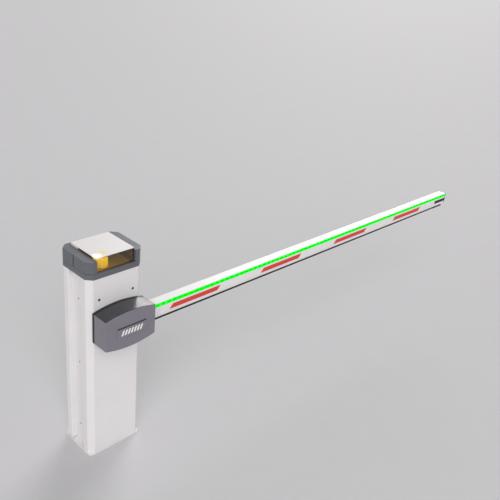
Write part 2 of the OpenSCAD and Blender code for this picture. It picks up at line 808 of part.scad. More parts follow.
module tip_foot() {
    h = boom_h/2;
    color(rubber_black) translate([0, boom_mid, axis_z]) beam_x(boom_reach - 108, boom_reach - 12) {
        translate([-slot_w/2 + 0.2, -h - 2]) square([slot_w - 0.4, slot_h + 1.5]);
        translate([0, -h - 8]) round_rect(bulb_w + 4, 16, 5);
    }
}

// Outline of the cover in X and Z about the axis of rotation, inset by i
module cover_outline(i) {
    intersection() {
        translate([cover_x, -cover_drop]) square([cover_l - 2*i, 4*cover_end_h], center = true);
        translate([cover_x, cover_end_h + cover_rise - cover_r - cover_drop]) circle(r = cover_r - i, $fn = 360);
        translate([cover_x, cover_r - cover_end_h - cover_rise - cover_drop]) circle(r = cover_r - i, $fn = 360);
    }
}

module boom_cover() {
    color(cover_grey) translate([0, 0, axis_z]) difference() {
        slab_y(cover_front, cover_back) cover_outline(0);
        slab_y(cover_front + cover_t, cover_back + 1) cover_outline(cover_t);
        block([cover_l/2 - 10, boom_front - 3, -boom_h/2 - bulb_h - 3],
            [cover_l/2 + 10, cover_back + 1, boom_h/2 + 3]);
        for (x = [-1, 1])
            bar_y(3.2, cover_front - 1, cover_front + cover_t + 1, badge_at[0] + x*post_x, badge_at[1]);
    }
}

module cover_posts() {
    color(zinc) translate([0, 0, axis_z]) for (x = [-1, 1])
        bar_y(6, cover_front + cover_t, clamp_y - clamp_t, badge_at[0] + x*post_x, badge_at[1]);
}

module cover_screws() {
    color(zinc) translate([0, 0, axis_z]) for (x = [-1, 1]) difference() {
        bar_y(3, cover_front - 0.2, cover_front + cover_t - 0.1, badge_at[0] + x*post_x, badge_at[1]);
        bar_y(1.4, cover_front - 1, cover_front + 1, badge_at[0] + x*post_x, badge_at[1]);
    }
}

module badge() {
    color(cover_grey) translate([badge_at[0], 0, axis_z + badge_at[1]])
        slab_y(cover_front - badge_t, cover_front - 0.3) round_rect(badge_size[0], badge_size[1], 4);
}

// ---------- cap and lamp ----------

// Outside of the cap, or the pocket inside it: an octagonal block less the lamp's bay
module cap_block(w, d, cut, z0, z1, wall) {
    difference() {
        translate([0, 0, z0]) linear_extrude(z1 - z0) polygon(cut_rect(w, d, cut));
        block([-lamp_w/2 - 1 - wall, -cap_d, sill_z - wall],
            [lamp_w/2 + 1 + wall, roof_back + 1.5 + wall, z1 + 1]);
    }
}

module top_cap() {
    color(cap_grey) difference() {
        cap_block(cap_w, cap_d, cap_cut, cap_bottom, cap_side_top, 0);
        cap_block(cap_w - 2*cap_wall, cap_d - 2*cap_wall, cap_inner_cut, cap_bottom - 1,
            cap_side_top - cap_wall, cap_wall);
        block([-lamp_w/2 + 8, lens_y[0] + 7, sill_z - 2*cap_wall],
            [lamp_w/2 - 8, roof_back - 7, sill_z + 1]);
        for (x = [-1, 1]) {
            block([x*(cap_w/2 + 1), -3.5, groove_bottom], [x*(cap_w/2 - 1.6), 3.5, cap_side_top + 1]);
            translate([x*cap_w/2, 0, cap_screw_z]) rotate([0, 90, 0]) {
                cylinder(r = 2.6, h = 12, center = true);
                cylinder(r = 4.4, h = 3.8, center = true);
            }
        }
    }
}

module lamp_lens() {
    hw = lamp_w/2 - 0.5;
    color(lens_amber) difference() {
        block([-hw, lens_y[0], sill_z], [hw, lens_y[1], lens_top]);
        block([-hw + lens_t, lens_y[0] + lens_t, sill_z - 1],
            [hw - lens_t, lens_y[1] - lens_t, lens_top - lens_t]);
    }
}

// Opal lid over the lens, with a box behind the lens that fills the rest of the bay
module lamp_roof() {
    hw = lamp_w/2;
    color(shell_white) {
        block([-hw, lens_y[0] - 0.5, lens_top], [hw, roof_back, lens_top + roof_t]);
        difference() {
            block([-hw + 0.5, lens_y[1] + 0.5, sill_z], [hw - 0.5, roof_back - 0.5, lens_top]);
            block([-hw + 3, lens_y[1] + 3, sill_z - 1], [hw - 3, roof_back - 3, lens_top - 1]);
        }
    }
}

module lamp_tray() {
    color("#D8D6D0") {
        block([-lamp_w/2 + 4, lens_y[0] + 4, sill_z - cap_wall - 3],
            [lamp_w/2 - 4, roof_back - 4, sill_z - cap_wall]);
        translate([lamp_at[0], lamp_at[1], sill_z - cap_wall]) cylinder(r = 20, h = 5);
    }
}

module lamp_bulb() {
    color(lens_amber) translate([lamp_at[0], lamp_at[1], sill_z - cap_wall + 5]) rotate_extrude()
        polygon(concat([[0, 0], [lamp_r, 0], [lamp_r, lamp_h]],
            [for (a = [15:15:90]) [lamp_r*cos(a), lamp_h + 16*sin(a)]]));
}

// ---------- door ----------

module rear_door() {
    color(shell_white) difference() {
        half_wall(1, door_bottom, door_top);
        bar_y(lock_r + 1, cab_d/2 - sheet_t - 1, cab_d/2 + 1, lock_at[0], lock_at[1]);
    }
}

// Hinge halves: the cabinet holds the lower knuckle and the pin, the door the upper knuckle
module hinge_brackets() {
    color(zinc) for (z = hinge_z) {
        translate([hinge_at[0], hinge_at[1], z]) cylinder(r = hinge_r, h = hinge_h/2 - 0.2);
        translate([hinge_at[0], hinge_at[1], z]) cylinder(r = hinge_pin_r, h = hinge_h);
        block([floor_x, hinge_at[1] - hinge_r, z], [hinge_at[0], hinge_at[1] - 2, z + hinge_h/2 - 0.2]);
        block([floor_x, 14, z], [floor_x + 3, hinge_at[1] - 2, z + hinge_h/2 - 0.2]);
    }
}

module hinge_leaves() {
    color(zinc) for (z = hinge_z) difference() {
        union() {
            translate([hinge_at[0], hinge_at[1], z + hinge_h/2]) cylinder(r = hinge_r, h = hinge_h/2);
            block([hinge_at[0] - 6, hinge_at[1] + 3, z + hinge_h/2],
                [hinge_at[0] + 6, rec_y + door_gap - 0.05, z + hinge_h]);
        }
        translate([hinge_at[0], hinge_at[1], z]) cylinder(r = hinge_pin_r + run, h = hinge_h + 1);
    }
}

module lock_body() {
    y = cab_d/2;
    color(zinc) difference() {
        union() {
            bar_y(14, y, y + 3, lock_at[0], lock_at[1]);
            bar_y(lock_r + 1 - seat, y - 24, y, lock_at[0], lock_at[1]);
            bar_y(14, y - 8, y - sheet_t, lock_at[0], lock_at[1]);
        }
        bar_y(lock_r - 3 + run, y - 25, y + 4, lock_at[0], lock_at[1]);
    }
}

// Lock barrel and cam, shown unlocked: the cam stands upright, clear of the strike
module lock_cam() {
    y = cab_d/2;
    color(dark_steel) difference() {
        union() {
            bar_y(lock_r - 3, y - 32, y + 3.5, lock_at[0], lock_at[1]);
            block([lock_at[0] - 6, y - 35, lock_at[1] - 8], [lock_at[0] + 6, y - 32, lock_at[1] + 30]);
        }
        block([lock_at[0] - 0.8, y + 1, lock_at[1] - 4], [lock_at[0] + 0.8, y + 5, lock_at[1] + 4]);
    }
}

// ---------- electrics ----------

module transformer() {
    color("#5A4A42") {
        block([14, back_y, 50], [94, -30, 60]);
        block([14, back_y + 12, 60], [94, -42, 128]);
        block([28, -42, 68], [80, -24, 120]);
    }
}

module control_box() {
    color("#C9CCCE") difference() {
        block([-92, back_y, 778], [92, -36, 898]);
        block([-89, back_y + 3, 781], [89, -35, 895]);
    }
}

module control_box_lid() {
    color("#9FB2C4") {
        block([-92, -35.8, 778], [92, -33, 898]);
        block([-88.5, -39, 781.5], [88.5, -35.8, 784.5]);
        block([-88.5, -39, 891.5], [88.5, -35.8, 894.5]);
    }
}

module control_board() {
    y = back_y + 10;
    color("#1F6B3A") {
        block([-82, y, 788], [82, y + 1.6, 890]);
        for (k = [0:9]) block([-76 + 15*k, y + 1.6, 791], [-63 + 15*k, y + 12, 801]);
        for (k = [0:2]) block([-70 + 26*k, y + 1.6, 855], [-50 + 26*k, y + 17, 883]);
        block([20, y + 1.6, 850], [56, y + 8, 868]);
        for (k = [0:2]) bar_y(3, y + 1.6, y + 6, 26 + 12*k, 838);
        bar_y(8, y + 1.6, y + 26, 70, 862);
        for (x = [-1, 1], z = [-1, 1]) bar_y(3, back_y + 3, y, x*76, 839 + z*45);
    }
}

base_plate();
front_shell();
side_channels();
mounting_frame();
housing_screws();
frame_bolts();
bearing_housings();
bearings();
bearing_bridge();
end_stops();
shaft_seal();
gearbox_housing();
gearbox_cover();
motor_body();
motor_end_cap();
spring_bracket();
spring_eye_bolt();
balance_spring();
transformer();
control_box();
control_box_lid();
control_board();
limit_sensors();
top_cap();
lamp_lens();
lamp_roof();
lamp_tray();
lamp_bulb();
hinge_brackets();
main_shaft();
boom_lever();
lever_pins();
limit_cams();
boom_flange();
clamp_plate();
boom_bolts();
boom_tube();
led_covers();
reflectors();
rubber_edge();
boom_end_cap();
tip_foot();
boom_cover();
cover_posts();
cover_screws();
badge();
output_shaft();
worm_wheel();
crank_arm();
link_rod();
link_bushes();
spring_yoke();
rear_door();
hinge_leaves();
lock_body();
lock_cam();
release_lever();
worm_shaft();
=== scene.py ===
"""Parking barrier gate: the looks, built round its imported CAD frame.

The part's own frame holds throughout: +X runs along the lowered boom, -Y is the face that carries
it and +Z is up. Solids are made in millimetres, as a maker reads them, and turned to metres once.
"""

from __future__ import annotations

import json
import logging
import math
from dataclasses import dataclass
from enum import Enum
from typing import Callable, Iterable, Sequence

import bmesh
import bpy
from mathutils import Matrix, Vector

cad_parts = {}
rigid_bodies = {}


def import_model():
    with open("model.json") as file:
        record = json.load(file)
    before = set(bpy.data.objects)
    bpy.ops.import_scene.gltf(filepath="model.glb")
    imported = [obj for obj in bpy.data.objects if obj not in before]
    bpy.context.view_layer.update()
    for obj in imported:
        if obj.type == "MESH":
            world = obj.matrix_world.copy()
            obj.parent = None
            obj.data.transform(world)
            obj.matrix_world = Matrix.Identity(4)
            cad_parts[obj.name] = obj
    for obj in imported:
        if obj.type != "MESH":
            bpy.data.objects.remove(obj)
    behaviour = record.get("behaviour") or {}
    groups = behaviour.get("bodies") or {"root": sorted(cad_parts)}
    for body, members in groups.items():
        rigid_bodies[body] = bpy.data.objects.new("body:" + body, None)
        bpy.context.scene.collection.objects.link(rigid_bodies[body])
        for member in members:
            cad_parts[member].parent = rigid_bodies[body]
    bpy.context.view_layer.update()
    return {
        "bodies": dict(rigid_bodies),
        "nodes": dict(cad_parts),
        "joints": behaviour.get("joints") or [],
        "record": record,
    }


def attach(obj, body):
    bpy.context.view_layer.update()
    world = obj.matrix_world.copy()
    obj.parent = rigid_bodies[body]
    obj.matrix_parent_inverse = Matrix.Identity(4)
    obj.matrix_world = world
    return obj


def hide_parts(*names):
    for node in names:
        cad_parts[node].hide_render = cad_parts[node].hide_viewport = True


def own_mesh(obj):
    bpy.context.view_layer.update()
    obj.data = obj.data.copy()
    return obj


log = logging.getLogger("barrier")

MM = 0.001
# What a colour mix needs beside its inputs
MIX = {"output": 2, "data_type": "RGBA"}
# A map range that falls from 1 to 0 as its value rises
FALL = {"To Min": 1.0, "To Max": 0.0}
Point = tuple[float, float]
Point3 = tuple[float, float, float]
Colour = tuple[float, float, float, float]


def linear(code: str) -> Colour:
    """Turns an sRGB hex colour into the linear colour that a shader takes.

    Args:
        code: six hex digits after a leading #.

    Returns:
        Linear red, green and blue, with an alpha of 1.
    """
    channels = [int(code[i : i + 2], 16) / 255 for i in (1, 3, 5)]
    curve = [c / 12.92 if c <= 0.04045 else ((c + 0.055) / 1.055) ** 2.4 for c in channels]
    return (curve[0], curve[1], curve[2], 1.0)


def per_metre(size_mm: float) -> float:
    """Gives the texture scale whose features are size_mm across."""
    return 1.0 / (size_mm * MM)


# ---------------------------------------------------------------- finishes


class Bench:
    """A node tree, and the one way that nodes join it."""

    def __init__(self, owner: bpy.types.Material | bpy.types.World) -> None:
        """Opens the owner's tree."""
        owner.use_nodes = True
        self.tree = owner.node_tree

    def add(
        self, kind: str, inputs: dict, output: str | int | None = 0, **settings: object
    ) -> bpy.types.NodeSocket | None:
        """Adds one node with its settings and links.

        Args:
            kind: the node's type name.
            inputs: an input's name or number to its value, or to the socket that it is linked to.
            output: the name or number of the output to hand back, or None.
            **settings: properties of the node itself.

        Returns:
            That output's socket.
        """
        node = self.tree.nodes.new(kind)
        for name, value in settings.items():
            setattr(node, name, value)
        self.feed(node, inputs)
        return None if output is None else node.outputs[output]

    def feed(self, node: bpy.types.Node, inputs: dict) -> None:
        """Sets or links a node's inputs.

        Args:
            node: the node to feed.
            inputs: an input's name or number to a value or a socket.
        """
        for key, value in inputs.items():
            if isinstance(value, bpy.types.NodeSocket):
                self.tree.links.new(value, node.inputs[key])
            else:
                node.inputs[key].default_value = value


class SurfaceBench(Bench):
    """The tree of one material, with its shader and the object's own coordinates."""

    def __init__(self, material: bpy.types.Material) -> None:
        """Empties the tree and adds the shader, the output and the coordinates.

        Args:
            material: the material to dress.
        """
        super().__init__(material)
        self.tree.nodes.clear()
        surface = self.add("ShaderNodeBsdfPrincipled", {})
        self.shader = surface.node
        self.add("ShaderNodeOutputMaterial", {"Surface": surface}, None)
        self.where = self.add("ShaderNodeTexCoord", {}, "Object")

    def finish(self, inputs: dict) -> None:
        """Feeds the shader."""
        self.feed(self.shader, inputs)


@dataclass(frozen=True)
class Finish:
    """What every finish has: its name and the record's slot that it stands for."""

    name: str
    slot: str

    def material(self) -> bpy.types.Material:
        """Makes the material the first time and hands out the same one after that.

        Returns:
            The dressed material.
        """
        made = bpy.data.materials.get(self.name)
        if made is None:
            made = bpy.data.materials.new(self.name)
            self.dress(SurfaceBench(made))
        return made

    def dress(self, bench: SurfaceBench) -> None:
        """Fills the tree; each kind of finish has its own way."""
        raise NotImplementedError


@dataclass(frozen=True)
class PowderCoat(Finish):
    """Polyester powder baked on metal: an even semi-gloss skin with fine orange peel."""

    shade: str = "#EEECED"
    cloud: str = "#E6E4E7"
    roughness: float = 0.36
    peel_mm: float = 2.5
    dust: str = "#C9C4BB"
    dust_top_mm: float = 0.0

    def dress(self, bench: SurfaceBench) -> None:
        """Clouded paint and orange peel, with road dust below dust_top_mm on floor-standing parts.

        Args:
            bench: the tree to fill.
        """
        add, where = bench.add, bench.where
        clouds = add("ShaderNodeTexNoise", {"Vector": where, "Scale": per_metre(160), "Detail": 3.0})
        wear = add("ShaderNodeTexNoise", {"Vector": where, "Scale": per_metre(30), "Detail": 6.0})
        colour = add("ShaderNodeMix", {0: clouds, 6: linear(self.shade), 7: linear(self.cloud)}, **MIX)
        rough = add(
            "ShaderNodeMapRange",
            {"Value": wear, "To Min": self.roughness - 0.1, "To Max": self.roughness + 0.12},
        )
        if self.dust_top_mm:
            height = add("ShaderNodeSeparateXYZ", {"Vector": where}, "Z")
            low = add(
                "ShaderNodeMapRange",
                {"Value": height, "From Min": 0.0, "From Max": self.dust_top_mm * MM, **FALL},
            )
            film = add(
                "ShaderNodeMapRange", {"Value": wear, "From Min": 0.35, "From Max": 0.75, "To Max": 0.3}
            )
            film = add("ShaderNodeMath", {0: low, 1: film}, operation="MULTIPLY")
            colour = add("ShaderNodeMix", {0: film, 6: colour, 7: linear(self.dust)}, **MIX)
            rough = add("ShaderNodeMath", {0: film, 1: 0.4, 2: rough}, operation="MULTIPLY_ADD")
        peel = add("ShaderNodeTexNoise", {"Vector": where, "Scale": per_metre(self.peel_mm), "Detail": 1.0})
        normal = add("ShaderNodeBump", {"Height": peel, "Distance": 0.06 * MM, "Strength": 0.3})
        bench.finish({"Base Color": colour, "Roughness": rough, "IOR": 1.5, "Normal": normal})


@dataclass(frozen=True)
class Moulding(Finish):
    """Injection-moulded plastic with a spark-eroded texture from its tool."""

    shade: str = "#5D6066"
    faded: str = "#666970"
    roughness: float = 0.42
    grain_mm: float = 1.2
    grain_depth_mm: float = 0.06
    rubbed: float = 0.12

    def dress(self, bench: SurfaceBench) -> None:
        """Slight fading in clouds, rubbed patches that shine more, and the tool's grain.

        Args:
            bench: the tree to fill.
        """
        add, where = bench.add, bench.where
        clouds = add("ShaderNodeTexNoise", {"Vector": where, "Scale": per_metre(70), "Detail": 4.0})
        rubs = add("ShaderNodeTexNoise", {"Vector": where, "Scale": per_metre(24), "Detail": 5.0})
        colour = add("ShaderNodeMix", {0: clouds, 6: linear(self.shade), 7: linear(self.faded)}, **MIX)
        rough = add(
            "ShaderNodeMapRange",
            {
                "Value": rubs,
                "From Min": 0.5,
                "From Max": 0.72,
                "To Min": self.roughness,
                "To Max": self.roughness - self.rubbed,
            },
        )
        # The real grain is about a third of this size, too fine to show
        grain = add("ShaderNodeTexVoronoi", {"Vector": where, "Scale": per_metre(self.grain_mm)}, "Distance")
        normal = add(
            "ShaderNodeBump", {"Height": grain, "Distance": self.grain_depth_mm * MM, "Strength": 0.5}
        )
        bench.finish({"Base Color": colour, "Roughness": rough, "IOR": 1.53, "Normal": normal})


@dataclass(frozen=True)
class ClearPlastic(Finish):
    """Transparent polycarbonate, moulded in a polished tool: clear colour and sharp highlights."""

    tint: str = "#FFD56C"
    roughness: float = 0.05

    def dress(self, bench: SurfaceBench) -> None:
        """A tinted see-through body with the faint ripples that moulding leaves.

        Args:
            bench: the tree to fill.
        """
        ripple = bench.add(
            "ShaderNodeTexNoise", {"Vector": bench.where, "Scale": per_metre(14), "Detail": 1.0}
        )
        rough = bench.add(
            "ShaderNodeMapRange", {"Value": ripple, "To Min": self.roughness, "To Max": self.roughness + 0.06}
        )
        normal = bench.add("ShaderNodeBump", {"Height": ripple, "Distance": 0.05 * MM, "Strength": 0.3})
        bench.finish({
            "Base Color": linear(self.tint),
            "Roughness": rough,
            "IOR": 1.58,
            "Transmission Weight": 1.0,
            "Normal": normal,
        })


@dataclass(frozen=True)
class OpalPlastic(Finish):
    """Opal polycarbonate over a lamp: milky white, with the light soaking through above it."""

    shade: str = "#F3F1F1"
    cloud: str = "#EBE9EA"
    warm: str = "#F6EC96"
    warm_mm: Point3 = (-41.0, -62.0, 27.0)
    hot_mm: Point3 = (-80.0, -78.0, 34.0)
    strength: float = 0.5

    def dress(self, bench: SurfaceBench) -> None:
        """Milky body with two soft pools of lamplight, each given by its x, y and radius.

        Args:
            bench: the tree to fill.
        """
        add, pools = bench.add, []
        flat = add("ShaderNodeVectorMath", {0: bench.where, 1: (1.0, 1.0, 0.0)}, operation="MULTIPLY")
        for x, y, radius in (self.warm_mm, self.hot_mm):
            away = add(
                "ShaderNodeVectorMath", {0: flat, 1: (x * MM, y * MM, 0.0)}, "Value", operation="DISTANCE"
            )
            pools.append(
                add(
                    "ShaderNodeMapRange",
                    {"Value": away, "From Min": 0.0, "From Max": radius * MM, **FALL},
                    interpolation_type="SMOOTHERSTEP",
                )
            )
        clouds = add("ShaderNodeTexNoise", {"Vector": bench.where, "Scale": per_metre(60)})
        rough = add("ShaderNodeMapRange", {"Value": clouds, "To Min": 0.24, "To Max": 0.38})
        colour = add("ShaderNodeMix", {0: clouds, 6: linear(self.shade), 7: linear(self.cloud)}, **MIX)
        colour = add("ShaderNodeMix", {0: pools[0], 6: colour, 7: linear(self.warm)}, **MIX)
        glow = add("ShaderNodeMath", {0: pools[1], 1: self.strength}, operation="MULTIPLY")
        bench.finish({
            "Base Color": colour,
            "Roughness": rough,
            "IOR": 1.58,
            "Emission Color": linear("#FFFDF4"),
            "Emission Strength": glow,
        })


@dataclass(frozen=True)
class LampGlow(Finish):
    """A lit amber lamp part: bright where its ribs stand out and deeper between them."""

    bright: str = "#F2F884"
    deep: str = "#C8B23C"
    strength: float = 0.95
    ribs: int = 30
    centre_mm: Point = (-43.0, -52.0)
    low_z_mm: float = 960.0
    high_z_mm: float = 1016.0

    def dress(self, bench: SurfaceBench) -> None:
        """Emission that ripples with the ribs round the lamp's axis and grows towards its top.

        Args:
            bench: the tree to fill.
        """
        add = bench.add
        x, y = (value * MM for value in self.centre_mm)
        local = add("ShaderNodeVectorMath", {0: bench.where, 1: (x, y, 0.0)}, operation="SUBTRACT")
        split = add("ShaderNodeSeparateXYZ", {"Vector": local}).node
        turn = add("ShaderNodeMath", {0: split.outputs[1], 1: split.outputs[0]}, operation="ARCTAN2")
        wave = add("ShaderNodeMath", {0: turn, 1: float(self.ribs)}, operation="MULTIPLY")
        wave = add("ShaderNodeMath", {0: wave}, operation="COSINE")
        share = add("ShaderNodeMapRange", {"Value": wave, "From Min": -1.0})
        height = add("ShaderNodeMapRange", {
            "Value": split.outputs[2],
            "From Min": self.low_z_mm * MM,
            "From Max": self.high_z_mm * MM,
            "To Min": self.strength * 0.4,
            "To Max": self.strength,
        })
        colour = add("ShaderNodeMix", {0: share, 6: linear(self.deep), 7: linear(self.bright)}, **MIX)
        bench.finish({
            "Base Color": colour,
            "Roughness": 0.3,
            "Emission Color": colour,
            "Emission Strength": height,
        })


@dataclass(frozen=True)
class LightStrip(Finish):
    """A row of green LEDs under a clear cover: an even glow with a paler spot over each one."""

    glow: str = "#00FF00"
    spot: str = "#5CFF8C"
    pitch_mm: float = 33.3
    spot_mm: float = 6.0

    def dress(self, bench: SurfaceBench) -> None:
        """One pale spot per LED, worked out from the distance along the boom.

        Args:
            bench: the tree to fill.
        """
        add = bench.add
        along = add("ShaderNodeSeparateXYZ", {"Vector": bench.where}, "X")
        beat = add("ShaderNodeMath", {0: along, 1: self.pitch_mm * MM / 2}, operation="PINGPONG")
        spot = add(
            "ShaderNodeMapRange",
            {"Value": beat, "From Min": 0.0, "From Max": self.spot_mm * MM, **FALL},
            interpolation_type="SMOOTHSTEP",
        )
        uneven = add("ShaderNodeTexNoise", {"Vector": bench.where, "Scale": per_metre(120)})
        between = {"Value": uneven, "From Min": 0.35, "From Max": 0.65, "To Min": 0.15}
        uneven = add("ShaderNodeMapRange", between)
        spot = add("ShaderNodeMath", {0: spot, 1: uneven}, operation="MULTIPLY")
        colour = add("ShaderNodeMix", {0: spot, 6: linear(self.glow), 7: linear(self.spot)}, **MIX)
        bench.finish({
            "Base Color": linear("#001A02"),
            "Roughness": 0.5,
            "IOR": 1.49,
            "Specular IOR Level": 0.0,
            "Emission Color": colour,
            "Emission Strength": 1.0,
        })


@dataclass(frozen=True)
class ReflectiveFilm(Finish):
    """Red prismatic film: bright, faintly celled and glossy."""

    shade: str = "#E0453B"
    wall: str = "#D23C33"
    cell_mm: float = 5.0

    def dress(self, bench: SurfaceBench) -> None:
        """The film's sealed cells, drawn several times too large so that they show at all.

        Args:
            bench: the tree to fill.
        """
        add = bench.add
        edge = add(
            "ShaderNodeTexVoronoi",
            {"Vector": bench.where, "Scale": per_metre(self.cell_mm)},
            feature="DISTANCE_TO_EDGE",
        )
        wall = add("ShaderNodeMapRange", {"Value": edge, "From Max": 0.1, **FALL})
        colour = add("ShaderNodeMix", {0: wall, 6: linear(self.shade), 7: linear(self.wall)}, **MIX)
        haze = add("ShaderNodeTexNoise", {"Vector": bench.where, "Scale": per_metre(18)})
        rough = add("ShaderNodeMapRange", {"Value": haze, "To Min": 0.4, "To Max": 0.55})
        normal = add("ShaderNodeBump", {"Height": wall, "Distance": 0.03 * MM, "Strength": 0.3})
        bench.finish({
            "Base Color": colour,
            "Roughness": rough,
            "IOR": 1.5,
            "Specular IOR Level": 0.35,
            "Normal": normal,
        })


@dataclass(frozen=True)
class Metal(Finish):
    """Bare or plated metal: clouds of duller metal and the marks of how it was worked."""

    shade: str = "#C3C6C9"
    dull: str = "#9DA1A5"
    roughness: float = 0.3
    mark_mm: float = 1.5
    mark_depth_mm: float = 0.02
    stretch: Point3 = (1.0, 1.0, 1.0)
    metallic: float = 1.0

    def dress(self, bench: SurfaceBench) -> None:
        """Uneven polish over clouded colour; stretch draws the marks out along one axis.

        Args:
            bench: the tree to fill.
        """
        add = bench.add
        drawn = add("ShaderNodeMapping", {"Vector": bench.where, "Scale": self.stretch})
        clouds = add("ShaderNodeTexNoise", {"Vector": bench.where, "Scale": per_metre(24), "Detail": 6.0})
        share = add("ShaderNodeMapRange", {"Value": clouds, "From Min": 0.3, "From Max": 0.7})
        colour = add("ShaderNodeMix", {0: share, 6: linear(self.shade), 7: linear(self.dull)}, **MIX)
        marks = add("ShaderNodeTexNoise", {"Vector": drawn, "Scale": per_metre(self.mark_mm), "Detail": 4.0})
        rough = add(
            "ShaderNodeMapRange",
            {
                "Value": marks,
                "From Min": 0.3,
                "From Max": 0.7,
                "To Min": self.roughness - 0.06,
                "To Max": self.roughness + 0.1,
            },
        )
        normal = add(
            "ShaderNodeBump", {"Height": marks, "Distance": self.mark_depth_mm * MM, "Strength": 0.5}
        )
        bench.finish({"Base Color": colour, "Metallic": self.metallic, "Roughness": rough, "Normal": normal})


@dataclass(frozen=True)
class Rubber(Finish):
    """Extruded EPDM: near black and matt, with pale dust held in its skin."""

    shade: str = "#141415"
    dusty: str = "#2B2B2D"
    roughness: float = 0.7

    def dress(self, bench: SurfaceBench) -> None:
        """Dust in clouds over the fine skin that the die leaves.

        Args:
            bench: the tree to fill.
        """
        add, where = bench.add, bench.where
        dust = add("ShaderNodeTexNoise", {"Vector": where, "Scale": per_metre(45), "Detail": 5.0})
        share = add("ShaderNodeMapRange", {"Value": dust, "From Min": 0.35, "From Max": 0.8, "To Max": 0.8})
        colour = add("ShaderNodeMix", {0: share, 6: linear(self.shade), 7: linear(self.dusty)}, **MIX)
        rough = add(
            "ShaderNodeMapRange",
            {"Value": dust, "To Min": self.roughness - 0.1, "To Max": self.roughness + 0.1},
        )
        skin = add("ShaderNodeTexNoise", {"Vector": where, "Scale": per_metre(1.5), "Detail": 2.0})
        normal = add("ShaderNodeBump", {"Height": skin, "Distance": 0.06 * MM, "Strength": 0.5})
        bench.finish({
            "Base Color": colour,
            "Roughness": rough,
            "IOR": 1.5,
            "Sheen Weight": 0.12,
            "Sheen Roughness": 0.5,
            "Normal": normal,
        })


@dataclass(frozen=True)
class SolderMask(Finish):
    """Solder mask over etched copper: tracks show through as raised paler lines."""

    shade: str = "#12502A"
    track: str = "#2E8048"
    pitch_mm: float = 16.0

    def dress(self, bench: SurfaceBench) -> None:
        """Tracks drawn as the joints of a brick pattern in the board's own plane.

        Args:
            bench: the tree to fill.
        """
        upright = bench.add(
            "ShaderNodeMapping", {"Vector": bench.where, "Rotation": (math.radians(90), 0.0, 0.0)}
        )
        tracks = bench.add(
            "ShaderNodeTexBrick",
            {
                "Vector": upright,
                "Color1": linear(self.shade),
                "Color2": linear("#175A31"),
                "Mortar": linear(self.track),
                "Scale": per_metre(self.pitch_mm),
                "Mortar Size": 0.04,
            },
        ).node
        normal = bench.add(
            "ShaderNodeBump", {"Height": tracks.outputs["Fac"], "Distance": 0.05 * MM, "Strength": 0.5}
        )
        bench.finish({"Base Color": tracks.outputs["Color"], "Roughness": 0.3, "IOR": 1.55, "Normal": normal})


